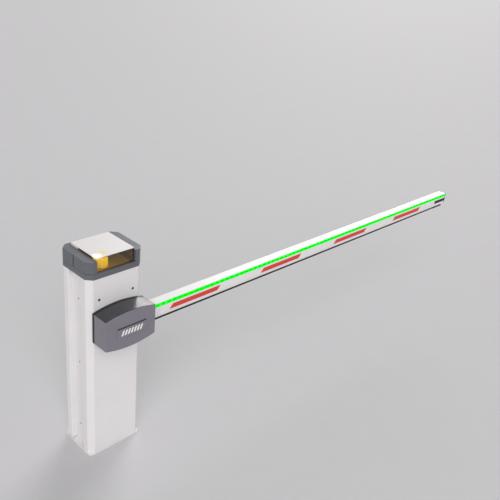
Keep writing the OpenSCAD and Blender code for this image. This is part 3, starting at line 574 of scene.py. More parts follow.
class Looks(Enum):
    """Every finish on the gate, and the floor's."""

    # Baked white polyester on folded steel: semi-gloss, and dusty where it meets the ground
    SHELL = PowderCoat("powder_coat_on_sheet_steel", "painted_sheet_steel", dust_top_mm=35.0)
    # The same powder on the extruded boom: a little more even in colour over smooth aluminium
    BOOM = PowderCoat(
        "powder_coat_on_extruded_aluminium", "white_aluminium", cloud="#E8E6E9"
    )
    # Slate ABS with a matt tool texture, which catches the light on its flat shoulders
    SLATE = Moulding("textured_abs_slate", "slate_abs")
    # Warm grey ABS from a finer tool, so it looks smoother than the cap
    COVER = Moulding(
        "fine_textured_abs_warm_grey", "mauve_grey_abs", "#7A7782", "#827F8A", 0.42, 0.9, 0.03
    )
    # The cover's arched band comes from a polished tool, so it mirrors its surroundings; its darker colour is
    # painted shade, a painted dark reflection
    COVER_SHADED_TOP = Moulding(
        "polished_abs_painted_dark_top", "mauve_grey_abs", "#303336", "#383B3E", 0.27, 0.9, 0.004, 0.04
    )
    # Glass-filled polyamide: black, dry and slightly mottled
    POLYAMIDE = Moulding("moulded_polyamide_black", "black_pa", "#131315", "#1D1D1F", 0.52)
    # Pad-printed ink: flat bright white
    INK = Moulding("pad_printed_ink_white", "white_plastic", "#F8F8F8", "#F0F0F0", 0.45, 2.0, 0.01)
    # Moulded polypropylene inside the lamp: white, so that it throws the light forward
    TRAY = Moulding("moulded_polypropylene_white", "white_plastic", "#DAD8D2", "#CFCCC4", 0.5)
    # Light grey ABS of an electrical box: smooth and a little shiny
    BOX = Moulding("moulded_abs_light_grey", "grey_abs", "#C6C9CB", "#BCBFC2", 0.4, 1.0, 0.03)
    # Thermoset terminal blocks: dark green and dull
    TERMINAL = Moulding("moulded_pbt_green", "circuit_board", "#2F6B4A", "#2A6043", 0.48)
    # Relay and capacitor cans: smooth dark sleeve
    SLEEVE = Moulding("moulded_pbt_black", "circuit_board", "#1A1C20", "#222428", 0.3, 1.0, 0.01)
    # Polished amber polycarbonate: see-through, with sharp highlights
    LENS = ClearPlastic("polished_polycarbonate_amber", "amber_lens")
    # Opal polycarbonate: milky, and lit from below at the lamp's corner
    LID = OpalPlastic("opal_polycarbonate", "opal_lid")
    # The drum lens round the bulb, lit from inside: bright yellow ribs with deeper yellow between them
    DRUM = LampGlow("lit_amber_drum", "lamp_glow")
    # The bulb's own envelope: almost white-hot yellow
    BULB = LampGlow("lit_bulb_glass", "lamp_glow", "#FFF27A", "#FFE23A", 5.0, 12)
    # Lit LEDs behind a clear cover: flat pure green that outshines any reflection
    LEDS = LightStrip("lit_led_strip_green", "led_light")
    # Prismatic film: strong red with a glassy top layer
    FILM = ReflectiveFilm("prismatic_film_red", "red_reflective")
    # Extruded rubber: the darkest and dullest thing on the gate
    EPDM = Rubber("extruded_epdm_black", "black_rubber")
    # Bright zinc plate: cool silver with a faint cloudiness
    ZINC = Metal("bright_zinc_plate", "zinc_plated_steel", "#C8CBCD", "#A8ACB0", 0.34)
    # Oiled black oxide: dark, with the turning marks still in it
    BLACKED = Metal("black_oxide_turned_steel", "dark_steel", "#5C5F63", "#3F4245", 0.34)
    # Ground and polished ring steel: near mirror
    RING = Metal("ground_ring_steel", "bearing_steel", "#D2D4D6", "#BFC2C5", 0.16, 0.8, 0.005)
    # Shot-peened wire: dark grey and evenly pitted
    WIRE = Metal("shot_peened_spring_wire", "spring_steel", "#5A5D61", "#44474A", 0.42, 1.0, 0.05)
    # Tumbled die casting: pale, matt and slightly pitted
    CASTING = Metal("tumbled_die_cast_aluminium", "cast_aluminium", "#A4A8AB", "#868A8E", 0.5, 2.0, 0.12)
    # Machined bronze: warm gold with crisp edges
    BRONZE = Metal("machined_bronze", "bronze", "#C8A060", "#A17A3C", 0.28)
    # Polished chrome over brass: mirror bright
    CHROME = Metal("polished_chrome_plate", "lock_chrome", "#DADBDC", "#CDCFD1", 0.1, 1.0, 0.003)
    # Nickel-plated brass sensor barrels: a warm silver
    NICKEL = Metal("nickel_plated_brass", "sensor_body", "#CFC9B8", "#B5AE9C", 0.24)
    # Varnished laminations: brown-black, streaked along the stack
    LAMINATED = Metal(
        "varnished_laminations", "laminated_iron", "#6A5A50", "#453A34", 0.42, 1.0, 0.1, (1.0, 0.06, 1.0), 0.6
    )
    # Enamelled copper under varnish: deep orange-brown and glossy
    WINDING = Metal(
        "varnished_copper_winding", "laminated_iron", "#B0663A", "#8A4A28", 0.3, 1.2, 0.1, (0.05, 1.0, 1.0)
    )
    # Black stove enamel: deep gloss
    ENAMEL = PowderCoat("stove_enamel_black", "black_enamel", shade="#1E1F22", cloud="#27282B", roughness=0.3)
    # Red gloss enamel: marks the hand release
    RELEASE = PowderCoat("gloss_enamel_red", "red_paint", shade="#C4261F", cloud="#B21F19", roughness=0.24)
    # Solder mask: green with paler tracks
    BOARD = SolderMask("solder_mask_green", "circuit_board")
    # Matt floor paint: pale grey, with no highlight
    FLOOR = PowderCoat("matt_floor_paint", "", shade="#D2D2D4", cloud="#CECED1", roughness=0.8, peel_mm=6.0)


# ---------------------------------------------------------------- solids


class Axis(Enum):
    """The direction that a prism or a turned shape runs along."""

    X = 0
    Y = 1
    Z = 2

    def place(self, across: float, up: float, along: float) -> Point3:
        """Turns a point of a drawing and its distance along the axis into a point in space.

        Args:
            across: the drawing's first coordinate: y for X, x for Y and Z.
            up: its second coordinate: z for X and Y, y for Z.
            along: the distance along the axis.

        Returns:
            The point's x, y and z.
        """
        if self is Axis.X:
            return (along, across, up)
        if self is Axis.Y:
            return (across, along, up)
        return (across, up, along)


def arc(cx: float, cy: float, r: float, start: float, end: float, steps: int) -> list[Point]:
    """Lists the points of an arc.

    Args:
        cx: its centre's first coordinate.
        cy: its centre's second coordinate.
        r: its radius.
        start: its first angle in degrees.
        end: its last angle in degrees.
        steps: how many chords it has.

    Returns:
        steps + 1 points.
    """
    angles = [math.radians(start + (end - start) * k / steps) for k in range(steps + 1)]
    return [(cx + r * math.cos(a), cy + r * math.sin(a)) for a in angles]


def both_sides(right: Sequence[Point]) -> list[Point]:
    """Closes the right-hand half of an outline with its mirror image."""
    return [*right, *((-a, b) for a, b in right[::-1])]


def circle(r: float, cx: float = 0.0, cy: float = 0.0, steps: int = 48) -> list[Point]:
    """A round outline."""
    return arc(cx, cy, r, 0, 360, steps)[:-1]


def rectangle(x0: float, y0: float, x1: float, y1: float, r: float = 0.0) -> list[Point]:
    """Draws a rectangle between two corners.

    Args:
        x0: its left edge.
        y0: its lower edge.
        x1: its right edge.
        y1: its upper edge.
        r: its corner radius.

    Returns:
        Its outline.
    """
    corners = [(x0, y0), (x1, y0), (x1, y1), (x0, y1)]
    return softened(corners, r) if r else corners


def softened(points: Sequence[Point], r: float, closed: bool = True, steps: int = 6) -> list[Point]:
    """Rounds the corners of an outline, or the bends of an open line.

    Args:
        points: the sharp corners.
        r: the corner radius.
        closed: whether the last point joins the first.
        steps: the chords in each corner.

    Returns:
        The outline with arcs for corners.
    """
    made: list[Point] = []
    count = len(points)
    for k, point in enumerate(points):
        if not closed and k in (0, count - 1):
            made.append(point)
            continue
        here = Vector(point)
        back = (Vector(points[k - 1]) - here).normalized()
        on = (Vector(points[(k + 1) % count]) - here).normalized()
        half = back.angle(on) / 2
        centre = here + (back + on).normalized() * (r / math.sin(half))
        first = here + back * (r / math.tan(half)) - centre
        last = here + on * (r / math.tan(half)) - centre
        a0, a1 = math.atan2(first.y, first.x), math.atan2(last.y, last.x)
        a1 += 2 * math.pi * round((a0 - a1) / (2 * math.pi))
        made += arc(centre.x, centre.y, r, math.degrees(a0), math.degrees(a1), steps)
    return made


def bent_sheet(bends: Sequence[Point], thick: float, inner_r: float) -> list[Point]:
    """Draws the section of folded sheet from the line of its outer face.

    Args:
        bends: the outer face's ends and bends, with the sheet on the right of the way they run.
        thick: the sheet's thickness.
        inner_r: the radius inside each bend.

    Returns:
        The closed outline of the section.
    """
    points = [Vector(p) for p in bends]
    normals = []
    for a, b in zip(points, points[1:]):
        run = (b - a).normalized()
        normals.append(Vector((run.y, -run.x)))
    inner = [points[0] + normals[0] * thick]
    for k in range(1, len(points) - 1):
        mitre = (normals[k - 1] + normals[k]).normalized()
        inner.append(points[k] + mitre * (thick / mitre.dot(normals[k])))
    inner.append(points[-1] + normals[-1] * thick)
    outside = softened([tuple(p) for p in points], inner_r + thick, closed=False)
    inside = softened([tuple(p) for p in inner], inner_r, closed=False)
    return outside + inside[::-1]


class Solid:
    """A closed shape in millimetres, made step by step."""

    def __init__(self, mesh: bpy.types.Mesh) -> None:
        """Takes over a mesh."""
        self.mesh = mesh

    @classmethod
    def from_rings(cls, rings: Sequence[Sequence[Point3]], looped: bool = False) -> Solid:
        """Skins a row of rings that all have the same number of points.

        Args:
            rings: the rings, in order.
            looped: whether the last ring joins the first, instead of both ends being closed.

        Returns:
            The solid.
        """
        bm = bmesh.new()
        made = [[bm.verts.new(p) for p in ring] for ring in rings]
        count = len(made[0])
        pairs = list(zip(made, made[1:])) + ([(made[-1], made[0])] if looped else [])
        for low, high in pairs:
            for k in range(count):
                bm.faces.new((low[k], low[(k + 1) % count], high[(k + 1) % count], high[k]))
        if not looped:
            bm.faces.new(made[0][::-1])
            bm.faces.new(made[-1])
        return cls.from_bmesh(bm)

    @classmethod
    def from_bmesh(cls, bm: bmesh.types.BMesh) -> Solid:
        """Finishes a bmesh as a solid whose faces point outwards."""
        bmesh.ops.remove_doubles(bm, verts=bm.verts, dist=1e-4)
        bmesh.ops.recalc_face_normals(bm, faces=bm.faces)
        mesh = bpy.data.meshes.new("solid")
        bm.to_mesh(mesh)
        bm.free()
        return cls(mesh)

    @classmethod
    def prism(cls, outline: Sequence[Point], axis: Axis, lo: float, hi: float) -> Solid:
        """Runs an outline along an axis.

        Args:
            outline: the closed outline, in the axis's own drawing plane.
            axis: the direction that it runs in.
            lo: where it starts.
            hi: where it ends.

        Returns:
            The solid.
        """
        return cls.from_rings([[axis.place(*p, d) for p in outline] for d in (lo, hi)])

    @classmethod
    def box(cls, low: Point3, high: Point3) -> Solid:
        """A block between two corners."""
        return cls.prism(rectangle(low[0], low[1], high[0], high[1]), Axis.Z, low[2], high[2])

    @classmethod
    def turned(
        cls, profile: Sequence[Point], axis: Axis, at: Point = (0.0, 0.0), steps: int = 48
    ) -> Solid:
        """Turns a profile about a line along an axis.

        Args:
            profile: points of radius and distance along the axis, from one end to the other.
            axis: the direction of the line.
            at: where the line passes, in the axis's own drawing plane.
            steps: the sides of the round.

        Returns:
            The solid; where the profile's first and last radius aren't 0, flat ends close it.
        """
        rings = []
        for r, along in profile:
            rings.append([axis.place(*p, along) for p in circle(max(r, 1e-3), at[0], at[1], steps)])
        return cls.from_rings(rings)

    @classmethod
    def hollow(
        cls, profile: Sequence[Point], axis: Axis, at: Point = (0.0, 0.0), steps: int = 48
    ) -> Solid:
        """Turns a closed profile of radius and distance into a ring with a bore.

        Args:
            profile: the closed section of the ring.
            axis: the direction of its line.
            at: where the line passes.
            steps: the sides of the round.

        Returns:
            The ring.
        """
        rings = []
        for k in range(steps):
            c, s = math.cos(2 * math.pi * k / steps), math.sin(2 * math.pi * k / steps)
            rings.append([axis.place(at[0] + r * c, at[1] + r * s, d) for r, d in profile])
        return cls.from_rings(rings, looped=True)

    @classmethod
    def tube(cls, path: Sequence[Point3], r: float, sides: int = 12) -> Solid:
        """Runs a round bar along a path.

        Args:
            path: the bar's centre line.
            r: its radius.
            sides: the sides of its round.

        Returns:
            The bar.
        """
        points = [Vector(p) for p in path]
        side = Vector((1, 0, 0))
        rings = []
        for k, point in enumerate(points):
            run = (points[min(k + 1, len(points) - 1)] - points[max(k - 1, 0)]).normalized()
            side = (side - run * side.dot(run)).normalized()
            other = run.cross(side)
            rings.append(
                [tuple(point + side * (x * r) + other * (y * r)) for x, y in circle(1.0, steps=sides)]
            )
        return cls.from_rings(rings)

    @classmethod
    def of_node(cls, node: bpy.types.Object) -> Solid:
        """Copies a CAD node's shape, in millimetres, with its flat faces made whole again.

        Args:
            node: the CAD node.

        Returns:
            The copy.
        """
        bm = bmesh.new()
        bm.from_mesh(node.data)
        bmesh.ops.scale(bm, vec=(1 / MM,) * 3, verts=bm.verts)
        bmesh.ops.remove_doubles(bm, verts=bm.verts, dist=2e-3)
        bmesh.ops.dissolve_limit(
            bm, angle_limit=math.radians(0.6), verts=bm.verts, edges=bm.edges, use_dissolve_boundaries=False
        )
        return cls.from_bmesh(bm)

    @classmethod
    def group(cls, solids: Iterable[Solid]) -> Solid:
        """Puts solids side by side in one mesh."""
        bm = bmesh.new()
        for solid in solids:
            bm.from_mesh(solid.mesh)
        return cls.from_bmesh(bm)

    def worked(self, kind: str, **settings: object) -> Solid:
        """Runs one modifier over the shape and keeps its result.

        Args:
            kind: the modifier's type.
            **settings: its properties.

        Returns:
            The new solid.
        """
        holder = bpy.data.objects.new("bench", self.mesh)
        bpy.context.scene.collection.objects.link(holder)
        modifier = holder.modifiers.new("step", kind)
        for name, value in settings.items():
            setattr(modifier, name, value)
        bpy.context.view_layer.update()
        graph = bpy.context.evaluated_depsgraph_get()
        made = bpy.data.meshes.new_from_object(holder.evaluated_get(graph))
        bpy.data.objects.remove(holder)
        return Solid(made)

    def less(self, *tools: Solid) -> Solid:
        """Cuts other solids out of the shape.

        Args:
            *tools: the other solids, which may overlap.

        Returns:
            The new solid.
        """
        made = self
        for tool in tools:
            other = bpy.data.objects.new("tool", tool.mesh)
            bpy.context.scene.collection.objects.link(other)
            made = made.worked("BOOLEAN", operation="DIFFERENCE", solver="EXACT", object=other)
            bpy.data.objects.remove(other)
        return made

    def eased(self, width: float, segments: int = 3, angle: float = 30.0) -> Solid:
        """Rounds every edge sharper than an angle.

        Args:
            width: how far the rounding reaches from the edge.
            segments: its facets.
            angle: the least angle between two faces that counts as an edge, in degrees.

        Returns:
            The eased solid.
        """
        return self.worked(
            "BEVEL",
            width=width,
            segments=segments,
            limit_method="ANGLE",
            angle_limit=math.radians(angle),
            miter_outer="MITER_ARC",
        )

    def mapped(self, move: Callable[[Vector], Vector]) -> Solid:
        """Moves every point of a copy.

        Args:
            move: takes a point and gives its new place.

        Returns:
            The moved copy.
        """
        bm = bmesh.new()
        bm.from_mesh(self.mesh)
        for vert in bm.verts:
            vert.co = move(vert.co)
        return Solid.from_bmesh(bm)

    def paired(self, axis: Axis, about: float = 0.0) -> Solid:
        """The shape together with its mirror image."""
        return Solid.group([self, self.mirrored(axis, about)])

    def mirrored(self, axis: Axis, about: float = 0.0) -> Solid:
        """A copy mirrored across the plane where the axis's coordinate is about."""

        def flip(point: Vector) -> Vector:
            """One point mirrored."""
            other = point.copy()
            other[axis.value] = 2 * about - other[axis.value]
            return other

        return self.mapped(flip)


class Gate:
    """The frame's bodies, and the way a finished solid joins one of them."""

    def __init__(self, frame: dict) -> None:
        """Keeps the loaded frame.
        """
        self.nodes = frame["nodes"]
        self.body_of = {
            node: body for body, members in frame["record"]["behaviour"]["bodies"].items() for node in members
        }

    def fit(
        self,
        name: str,
        solid: Solid,
        look: Looks,
        node: str,
        stands_for: bool = True,
        second: Looks | None = None,
        chooses: Callable[[bpy.types.MeshPolygon], bool] | None = None,
        crease: float = 35.0,
    ) -> bpy.types.Object:
        """Makes a solid into a shown piece that rides where a CAD node does.

        Args:
            name: the piece's name.
            solid: its shape in millimetres.
            look: its finish.
            node: the CAD node that it belongs to.
            stands_for: whether it replaces that node.
            second: another finish for the faces that chooses picks.
            chooses: picks those faces, in metres.
            crease: the angle above which an edge stays sharp, in degrees.

        Returns:
            The piece.
        """
        mesh = solid.mesh
        if not mesh.polygons:
            raise ValueError(f"{name} came out empty")
        mesh.transform(Matrix.Scale(MM, 4))
        mesh.materials.clear()
        mesh.materials.append(look.value.material())
        for polygon in mesh.polygons:
            polygon.material_index = 0
        if second is not None and chooses is not None:
            mesh.materials.append(second.value.material())
            for polygon in mesh.polygons:
                polygon.material_index = int(chooses(polygon))
        mesh.shade_smooth()
        mesh.set_sharp_from_angle(angle=math.radians(crease))
        levelled = Solid(mesh).worked("WEIGHTED_NORMAL", keep_sharp=True, weight=60)
        levelled.mesh.name = name
        piece = bpy.data.objects.new(name, levelled.mesh)
        bpy.context.scene.collection.objects.link(piece)
        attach(piece, self.body_of[node])
        if stands_for:
            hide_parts(node)
        log.info("%s: %d faces, on %s", name, len(levelled.mesh.polygons), self.body_of[node])
        return piece

    def refine(
        self, node: str, look: Looks, ease: float = 0.8, segments: int = 2, name: str | None = None
    ) -> bpy.types.Object:
        """Stands in for a CAD node with the same shape, its edges broken as a maker would.

        Args:
            node: the CAD node.
            look: its finish.
            ease: how far its edges are rounded.
            segments: the facets of the rounding.
            name: the piece's name, or None for the node's own with _part after it.

        Returns:
            The piece.
        """
        solid = Solid.of_node(self.nodes[node]).eased(ease, segments)
        return self.fit(name or f"{node}_part", solid, look, node)


# ---------------------------------------------------------------- sub-assemblies


def hex_outline(across: float, cx: float = 0.0, cy: float = 0.0) -> list[Point]:
    """A hexagon of the given width across its flats."""
    return circle(across / math.sqrt(3), cx, cy, 6)


def socket_screw(axis: Axis, at: Point, seat: float, out: float, head_r: float, shank: Point) -> Solid:
    """Makes a button-head screw with a hexagon socket.

    Args:
        axis: the screw's direction.
        at: where its line passes, in the axis's own drawing plane.
        seat: where the underside of its head rests.
        out: 1 if the head faces along the axis, -1 if it faces back.
        head_r: the head's radius.
        shank: the shank's radius and length.

    Returns:
        The screw.
    """
    tall = head_r * 0.55
    dome = [(head_r * c, seat + out * tall * (0.25 + 0.75 * s)) for c, s in arc(0, 0, 1, 0, 75, 6)]
    profile = [(shank[0], seat - out * shank[1]), (shank[0], seat), (head_r * 0.96, seat), *dome]
    socket = Solid.prism(
        hex_outline(head_r * 0.75, *at), axis, *sorted((seat + out * tall * 0.35, seat + out * tall * 2))
    )
    return Solid.turned(profile, axis, at, 32).less(socket)


@dataclass
class Cabinet:
    """The floor-standing housing: base plate, folded shell, recessed sides and rear door."""

    gate: Gate
    width: float = 280.0
    depth: float = 212.0
    top: float = 938.0
    corner_cut: float = 24.0
    sheet: float = 2.0
    recess_half: float = 47.0
    recess_depth: float = 24.0
    bend_r: float = 1.6
    plate_t: float = 8.0
    plate_half: Point = (143.0, 107.0)
    plate_r: float = 18.0
    conduit_r: float = 40.0
    shaft_hole_r: float = 33.0
    anchor: Point = (90.0, 60.0)
    axis_z: float = 708.0
    door_z: Point = (11.0, 933.0)
    lock_at: Point = (-78.0, 500.0)
    access_x: float = 87.0
    access_z: float = 832.0
    screws_z: Point3 = (113.0, 466.0, 797.0)

    def half_wall(self, side: int) -> list[Point]:
        """Draws the folded section of one half of the wall.

        Args:
            side: -1 for the boom face and 1 for the door.

        Returns:
            The section's outline.
        """
        x, y, cut = self.width / 2, self.depth / 2, self.corner_cut
        edge = self.recess_half + (2.0 if side > 0 else 0.0)
        lip = x - self.recess_depth + self.sheet
        bends = [(lip, edge), (x, edge), (x, y - cut), (x - cut, y)]
        bends = both_sides(bends)
        if side > 0:
            bends = bends[::-1]
        return bent_sheet([(a, b * side) for a, b in bends], self.sheet, self.bend_r)

    def base_plate(self) -> None:
        """A thick plate with rounded corners, its holes broken with a light countersink."""
        x, y = self.plate_half
        plate = Solid.prism(rectangle(-x, -y, x, y, self.plate_r), Axis.Z, 0, self.plate_t).eased(0.9)
        bore = [(6.5, -1), (6.5, self.plate_t - 0.8), (8.3, self.plate_t + 1)]
        holes = [
            Solid.turned(bore, Axis.Z, (sx * self.anchor[0], sy * self.anchor[1]))
            for sx in (-1, 1)
            for sy in (-1, 1)
        ]
        r, top = self.conduit_r, self.plate_t
        conduit = Solid.turned([(r, -1), (r, top - 0.6), (r + 2, top + 1.4)], Axis.Z, steps=72)
        self.gate.fit("base_plate_painted", plate.less(conduit, *holes), Looks.SHELL, "base_plate")

    def front_shell(self) -> None:
        """The folded front with the hole for the boom shaft and two access holes."""
        y = -self.depth / 2
        wall = Solid.prism(self.half_wall(-1), Axis.Z, self.plate_t, self.top).eased(0.3, 2, 60)
        r = self.shaft_hole_r
        holes = [Solid.turned([(r, y - 1), (r, y + 3)], Axis.Y, (0, self.axis_z), 64)]
        for x in (-self.access_x, self.access_x):
            flare = [(7.4, y - 1), (6.8, y - 0.01), (4.5, y + 1.2), (4.5, y + 3)]
            holes.append(Solid.turned(flare, Axis.Y, (x, self.access_z), 40))
        self.gate.fit("front_shell_folded", wall.less(*holes), Looks.SHELL, "front_shell")

    def access_plugs(self) -> None:
        """Black push-in plugs that fill the two access holes."""
        y = -self.depth / 2
        stem = [(4.3, y + 2.6), (4.3, y + 1.4)]
        rim = [(6.3, y + 0.4), (5.7, y + 0.15), (3.4, y + 0.15)]
        dimple = [(2.8, y + 0.7), (0.8, y + 0.7)]
        plug = stem + rim + dimple
        plugs = [Solid.turned(plug, Axis.Y, (x, self.access_z), 32) for x in (-self.access_x, self.access_x)]
        self.gate.fit("access_plugs", Solid.group(plugs), Looks.POLYAMIDE, "front_shell", stands_for=False)

    def side_channels(self) -> None:
        """The two recess floors with the strike for the lock, and the folded lip that meets the door."""
        self.gate.refine("side_channels", Looks.SHELL, 0.4, name="side_channels_folded")
        x = self.width / 2 - self.recess_depth
        lip = bent_sheet([(x - 1, 48.6), (x + 8, 48.6)], 1.4, 0.5)
        strip = Solid.prism(lip, Axis.Z, self.door_z[0], self.door_z[1]).eased(0.3, 2)
        lips = strip.paired(Axis.X)
        self.gate.fit("door_lips_folded", lips, Looks.SHELL, "side_channels", stands_for=False)

    def screws(self) -> None:
        """Button-head screws down each recess, and one in each groove of the cap."""
        seat, made = self.width / 2 - self.recess_depth, []
        for z in self.screws_z:
            made.append(socket_screw(Axis.X, (8, z), seat, 1, 4.5, (2.5, 7)))
        made += [screw.mirrored(Axis.X) for screw in made]
        self.gate.fit("housing_screws_socket_head", Solid.group(made), Looks.ZINC, "housing_screws")
        # The cap's two screws take the black rubber finish: painted shade for the dark pits that they sit in
        cap = socket_screw(Axis.X, (0, 970), 141.1, 1, 3.6, (2.4, 9))
        pair = cap.paired(Axis.X)
        self.gate.fit("cap_screws_socket_head", pair, Looks.EPDM, "housing_screws", stands_for=False)

    def door(self) -> None:
        """The folded rear door with its lock hole, and a seal strip along its top and bottom."""
        y = self.depth / 2
        leaf = Solid.prism(self.half_wall(1), Axis.Z, *self.door_z).eased(0.3, 2, 60)
        hole = Solid.turned([(10, y - 4), (10, y + 2)], Axis.Y, self.lock_at)
        self.gate.fit("rear_door_folded", leaf.less(hole), Looks.SHELL, "rear_door")
        seal = bent_sheet([(-98, y - 2.1), (98, y - 2.1)], 4.0, 1.0)
        levels = (self.door_z[0] + 4, self.door_z[1] - 13)
        strips = [Solid.prism(seal, Axis.Z, z, z + 9).eased(1.2) for z in levels]
        self.gate.fit("door_seal_strips", Solid.group(strips), Looks.EPDM, "rear_door", stands_for=False)

    def hinges(self) -> None:
        """Zinc-plated hinge halves with their edges broken."""
        self.gate.refine("hinge_brackets", Looks.ZINC, 0.5)
        self.gate.refine("hinge_leaves", Looks.ZINC, 0.5)

    def lock(self) -> None:
        """A chromed quarter-turn lock: domed escutcheon, barrel with a key slot, and cam."""
        y, at = self.depth / 2, self.lock_at
        rim = [(6.1, y - 24), (9.9, y - 24), (9.9, y), (14, y)]
        rim += [(14, y + 1.2), (12.6, y + 2.6), (10.5, y + 3), (6.1, y + 3)]
        body = Solid.hollow(rim, Axis.Y, at, 64)
        nut = Solid.prism(hex_outline(25, *at), Axis.Y, y - 8, y - 2).less(
            Solid.turned([(9.8, y - 9), (9.8, y - 1)], Axis.Y, at)
        )
        self.gate.fit("lock_body_chromed", Solid.group([body, nut.eased(0.6)]), Looks.CHROME, "lock_body")
        barrel = Solid.turned([(6, y - 32), (6, y + 3), (5.4, y + 3.5)], Axis.Y, at)
        slot = Solid.box((at[0] - 0.8, y + 1, at[1] - 4), (at[0] + 0.8, y + 5, at[1] + 4))
        plate = rectangle(at[0] - 6, at[1] - 8, at[0] + 6, at[1] + 30, 4.0)
        cam = Solid.prism(plate, Axis.Y, y - 35, y - 32).eased(0.4)
        screw = Solid.turned([(3.5, y - 35), (3.5, y - 36.5), (2.8, y - 37)], Axis.Y, at, 6)
        self.gate.fit("lock_cam_plated", Solid.group([barrel.less(slot), cam, screw]), Looks.ZINC, "lock_cam")

    def build(self) -> None:
        """Makes every piece of the cabinet."""
        self.base_plate()
        self.front_shell()
        self.access_plugs()
        self.side_channels()
        self.screws()
        self.door()
        self.hinges()
        self.lock()


@dataclass
class Cap:
    """The moulded cap that carries the lamp."""

    gate: Gate
    width: float = 286.0
    depth: float = 218.0
    corner_cut: float = 27.0
    z: Point = (935.0, 1018.0)
    wall: float = 2.7
    bay_half: float = 97.0
    bay_back: float = 94.5
    sill: float = 961.0
    crease_z: float = 962.0
    groove_z: float = 965.0
    screw_z: float = 970.0
    opening: tuple[float, float, float, float] = (-88.0, -91.0, 88.0, 86.0)
    crease_h: float = 1.6
    crease_depth: float = 1.1

    def outline(self, inset: float, cut: float, r: float) -> list[Point]:
        """Draws the cap's octagon.

        Args:
            inset: how far it lies inside the outer face.
            cut: the leg of its cut corners.
            r: the radius on its corners.

        Returns:
            The outline.
        """
        x, y = self.width / 2 - inset, self.depth / 2 - inset
        half = [(x - cut, -y), (x, cut - y), (x, y - cut), (x - cut, y)]
        return softened(half + [(-a, -b) for a, b in half], r)

    def build(self) -> None:
        """Moulds the shell, cuts the bay, the crease and the side grooves, and puts a black strip in each
        groove as painted shade.
        """
        z0, z1, wall = *self.z, self.wall
        bay = Solid.box((-self.bay_half, -130, self.sill), (self.bay_half, self.bay_back, z1 + 5))
        outer = Solid.prism(self.outline(0, self.corner_cut, 2.5), Axis.Z, z0, z1)
        outer = outer.less(bay).eased(1.6, 4)
        pocket = Solid.prism(self.outline(wall, self.corner_cut - 3.6, 1.0), Axis.Z, z0 - 1, z1 - wall)
        pocket = pocket.less(
            Solid.box(
                (-self.bay_half - wall, -130, self.sill - wall),
                (self.bay_half + wall, self.bay_back + wall, z1 + 6),
            )
        )
        opening = Solid.prism(rectangle(*self.opening, 6), Axis.Z, self.sill - 6, self.sill + 1)
        low, cut = self.crease_z, self.corner_cut
        ring = Solid.prism(self.outline(-2, cut + 0.6, 2.5), Axis.Z, low, low + self.crease_h)
        core = Solid.prism(self.outline(self.crease_depth, cut - 0.3, 2.0), Axis.Z, low - 1, low + 2)
        shell = outer.less(pocket, opening, ring.less(core))
        x = self.width / 2
        for side in (-1, 1):
            edge = sorted((side * (x - 1.6), side * (x + 2)))
            slot = Solid.prism(rectangle(edge[0], -3.5, edge[1], 3.5), Axis.Z, self.groove_z, z1 + 2)
            ends = sorted((side * (x - 2.2), side * (x + 2)))
            pit = Solid.turned([(4.4, ends[0]), (4.4, ends[1])], Axis.X, (0, self.screw_z), 32)
            through = sorted((side * (x - 5), side * x))
            bore = Solid.turned([(2.6, through[0]), (2.6, through[1])], Axis.X, (0, self.screw_z), 24)
            shell = shell.less(slot, pit, bore)
        self.gate.fit("top_cap_moulded", shell, Looks.SLATE, "top_cap", crease=28)
        # A black strip down each groove: painted shade where the groove lies in shadow
        strip = Solid.prism(rectangle(x - 1.7, -3.4, x - 0.5, 3.4), Axis.Z, self.groove_z + 5, z1 - 0.2)
        self.gate.fit("cap_groove_painted_shade", strip.paired(Axis.X), Looks.EPDM, "top_cap", stands_for=False)


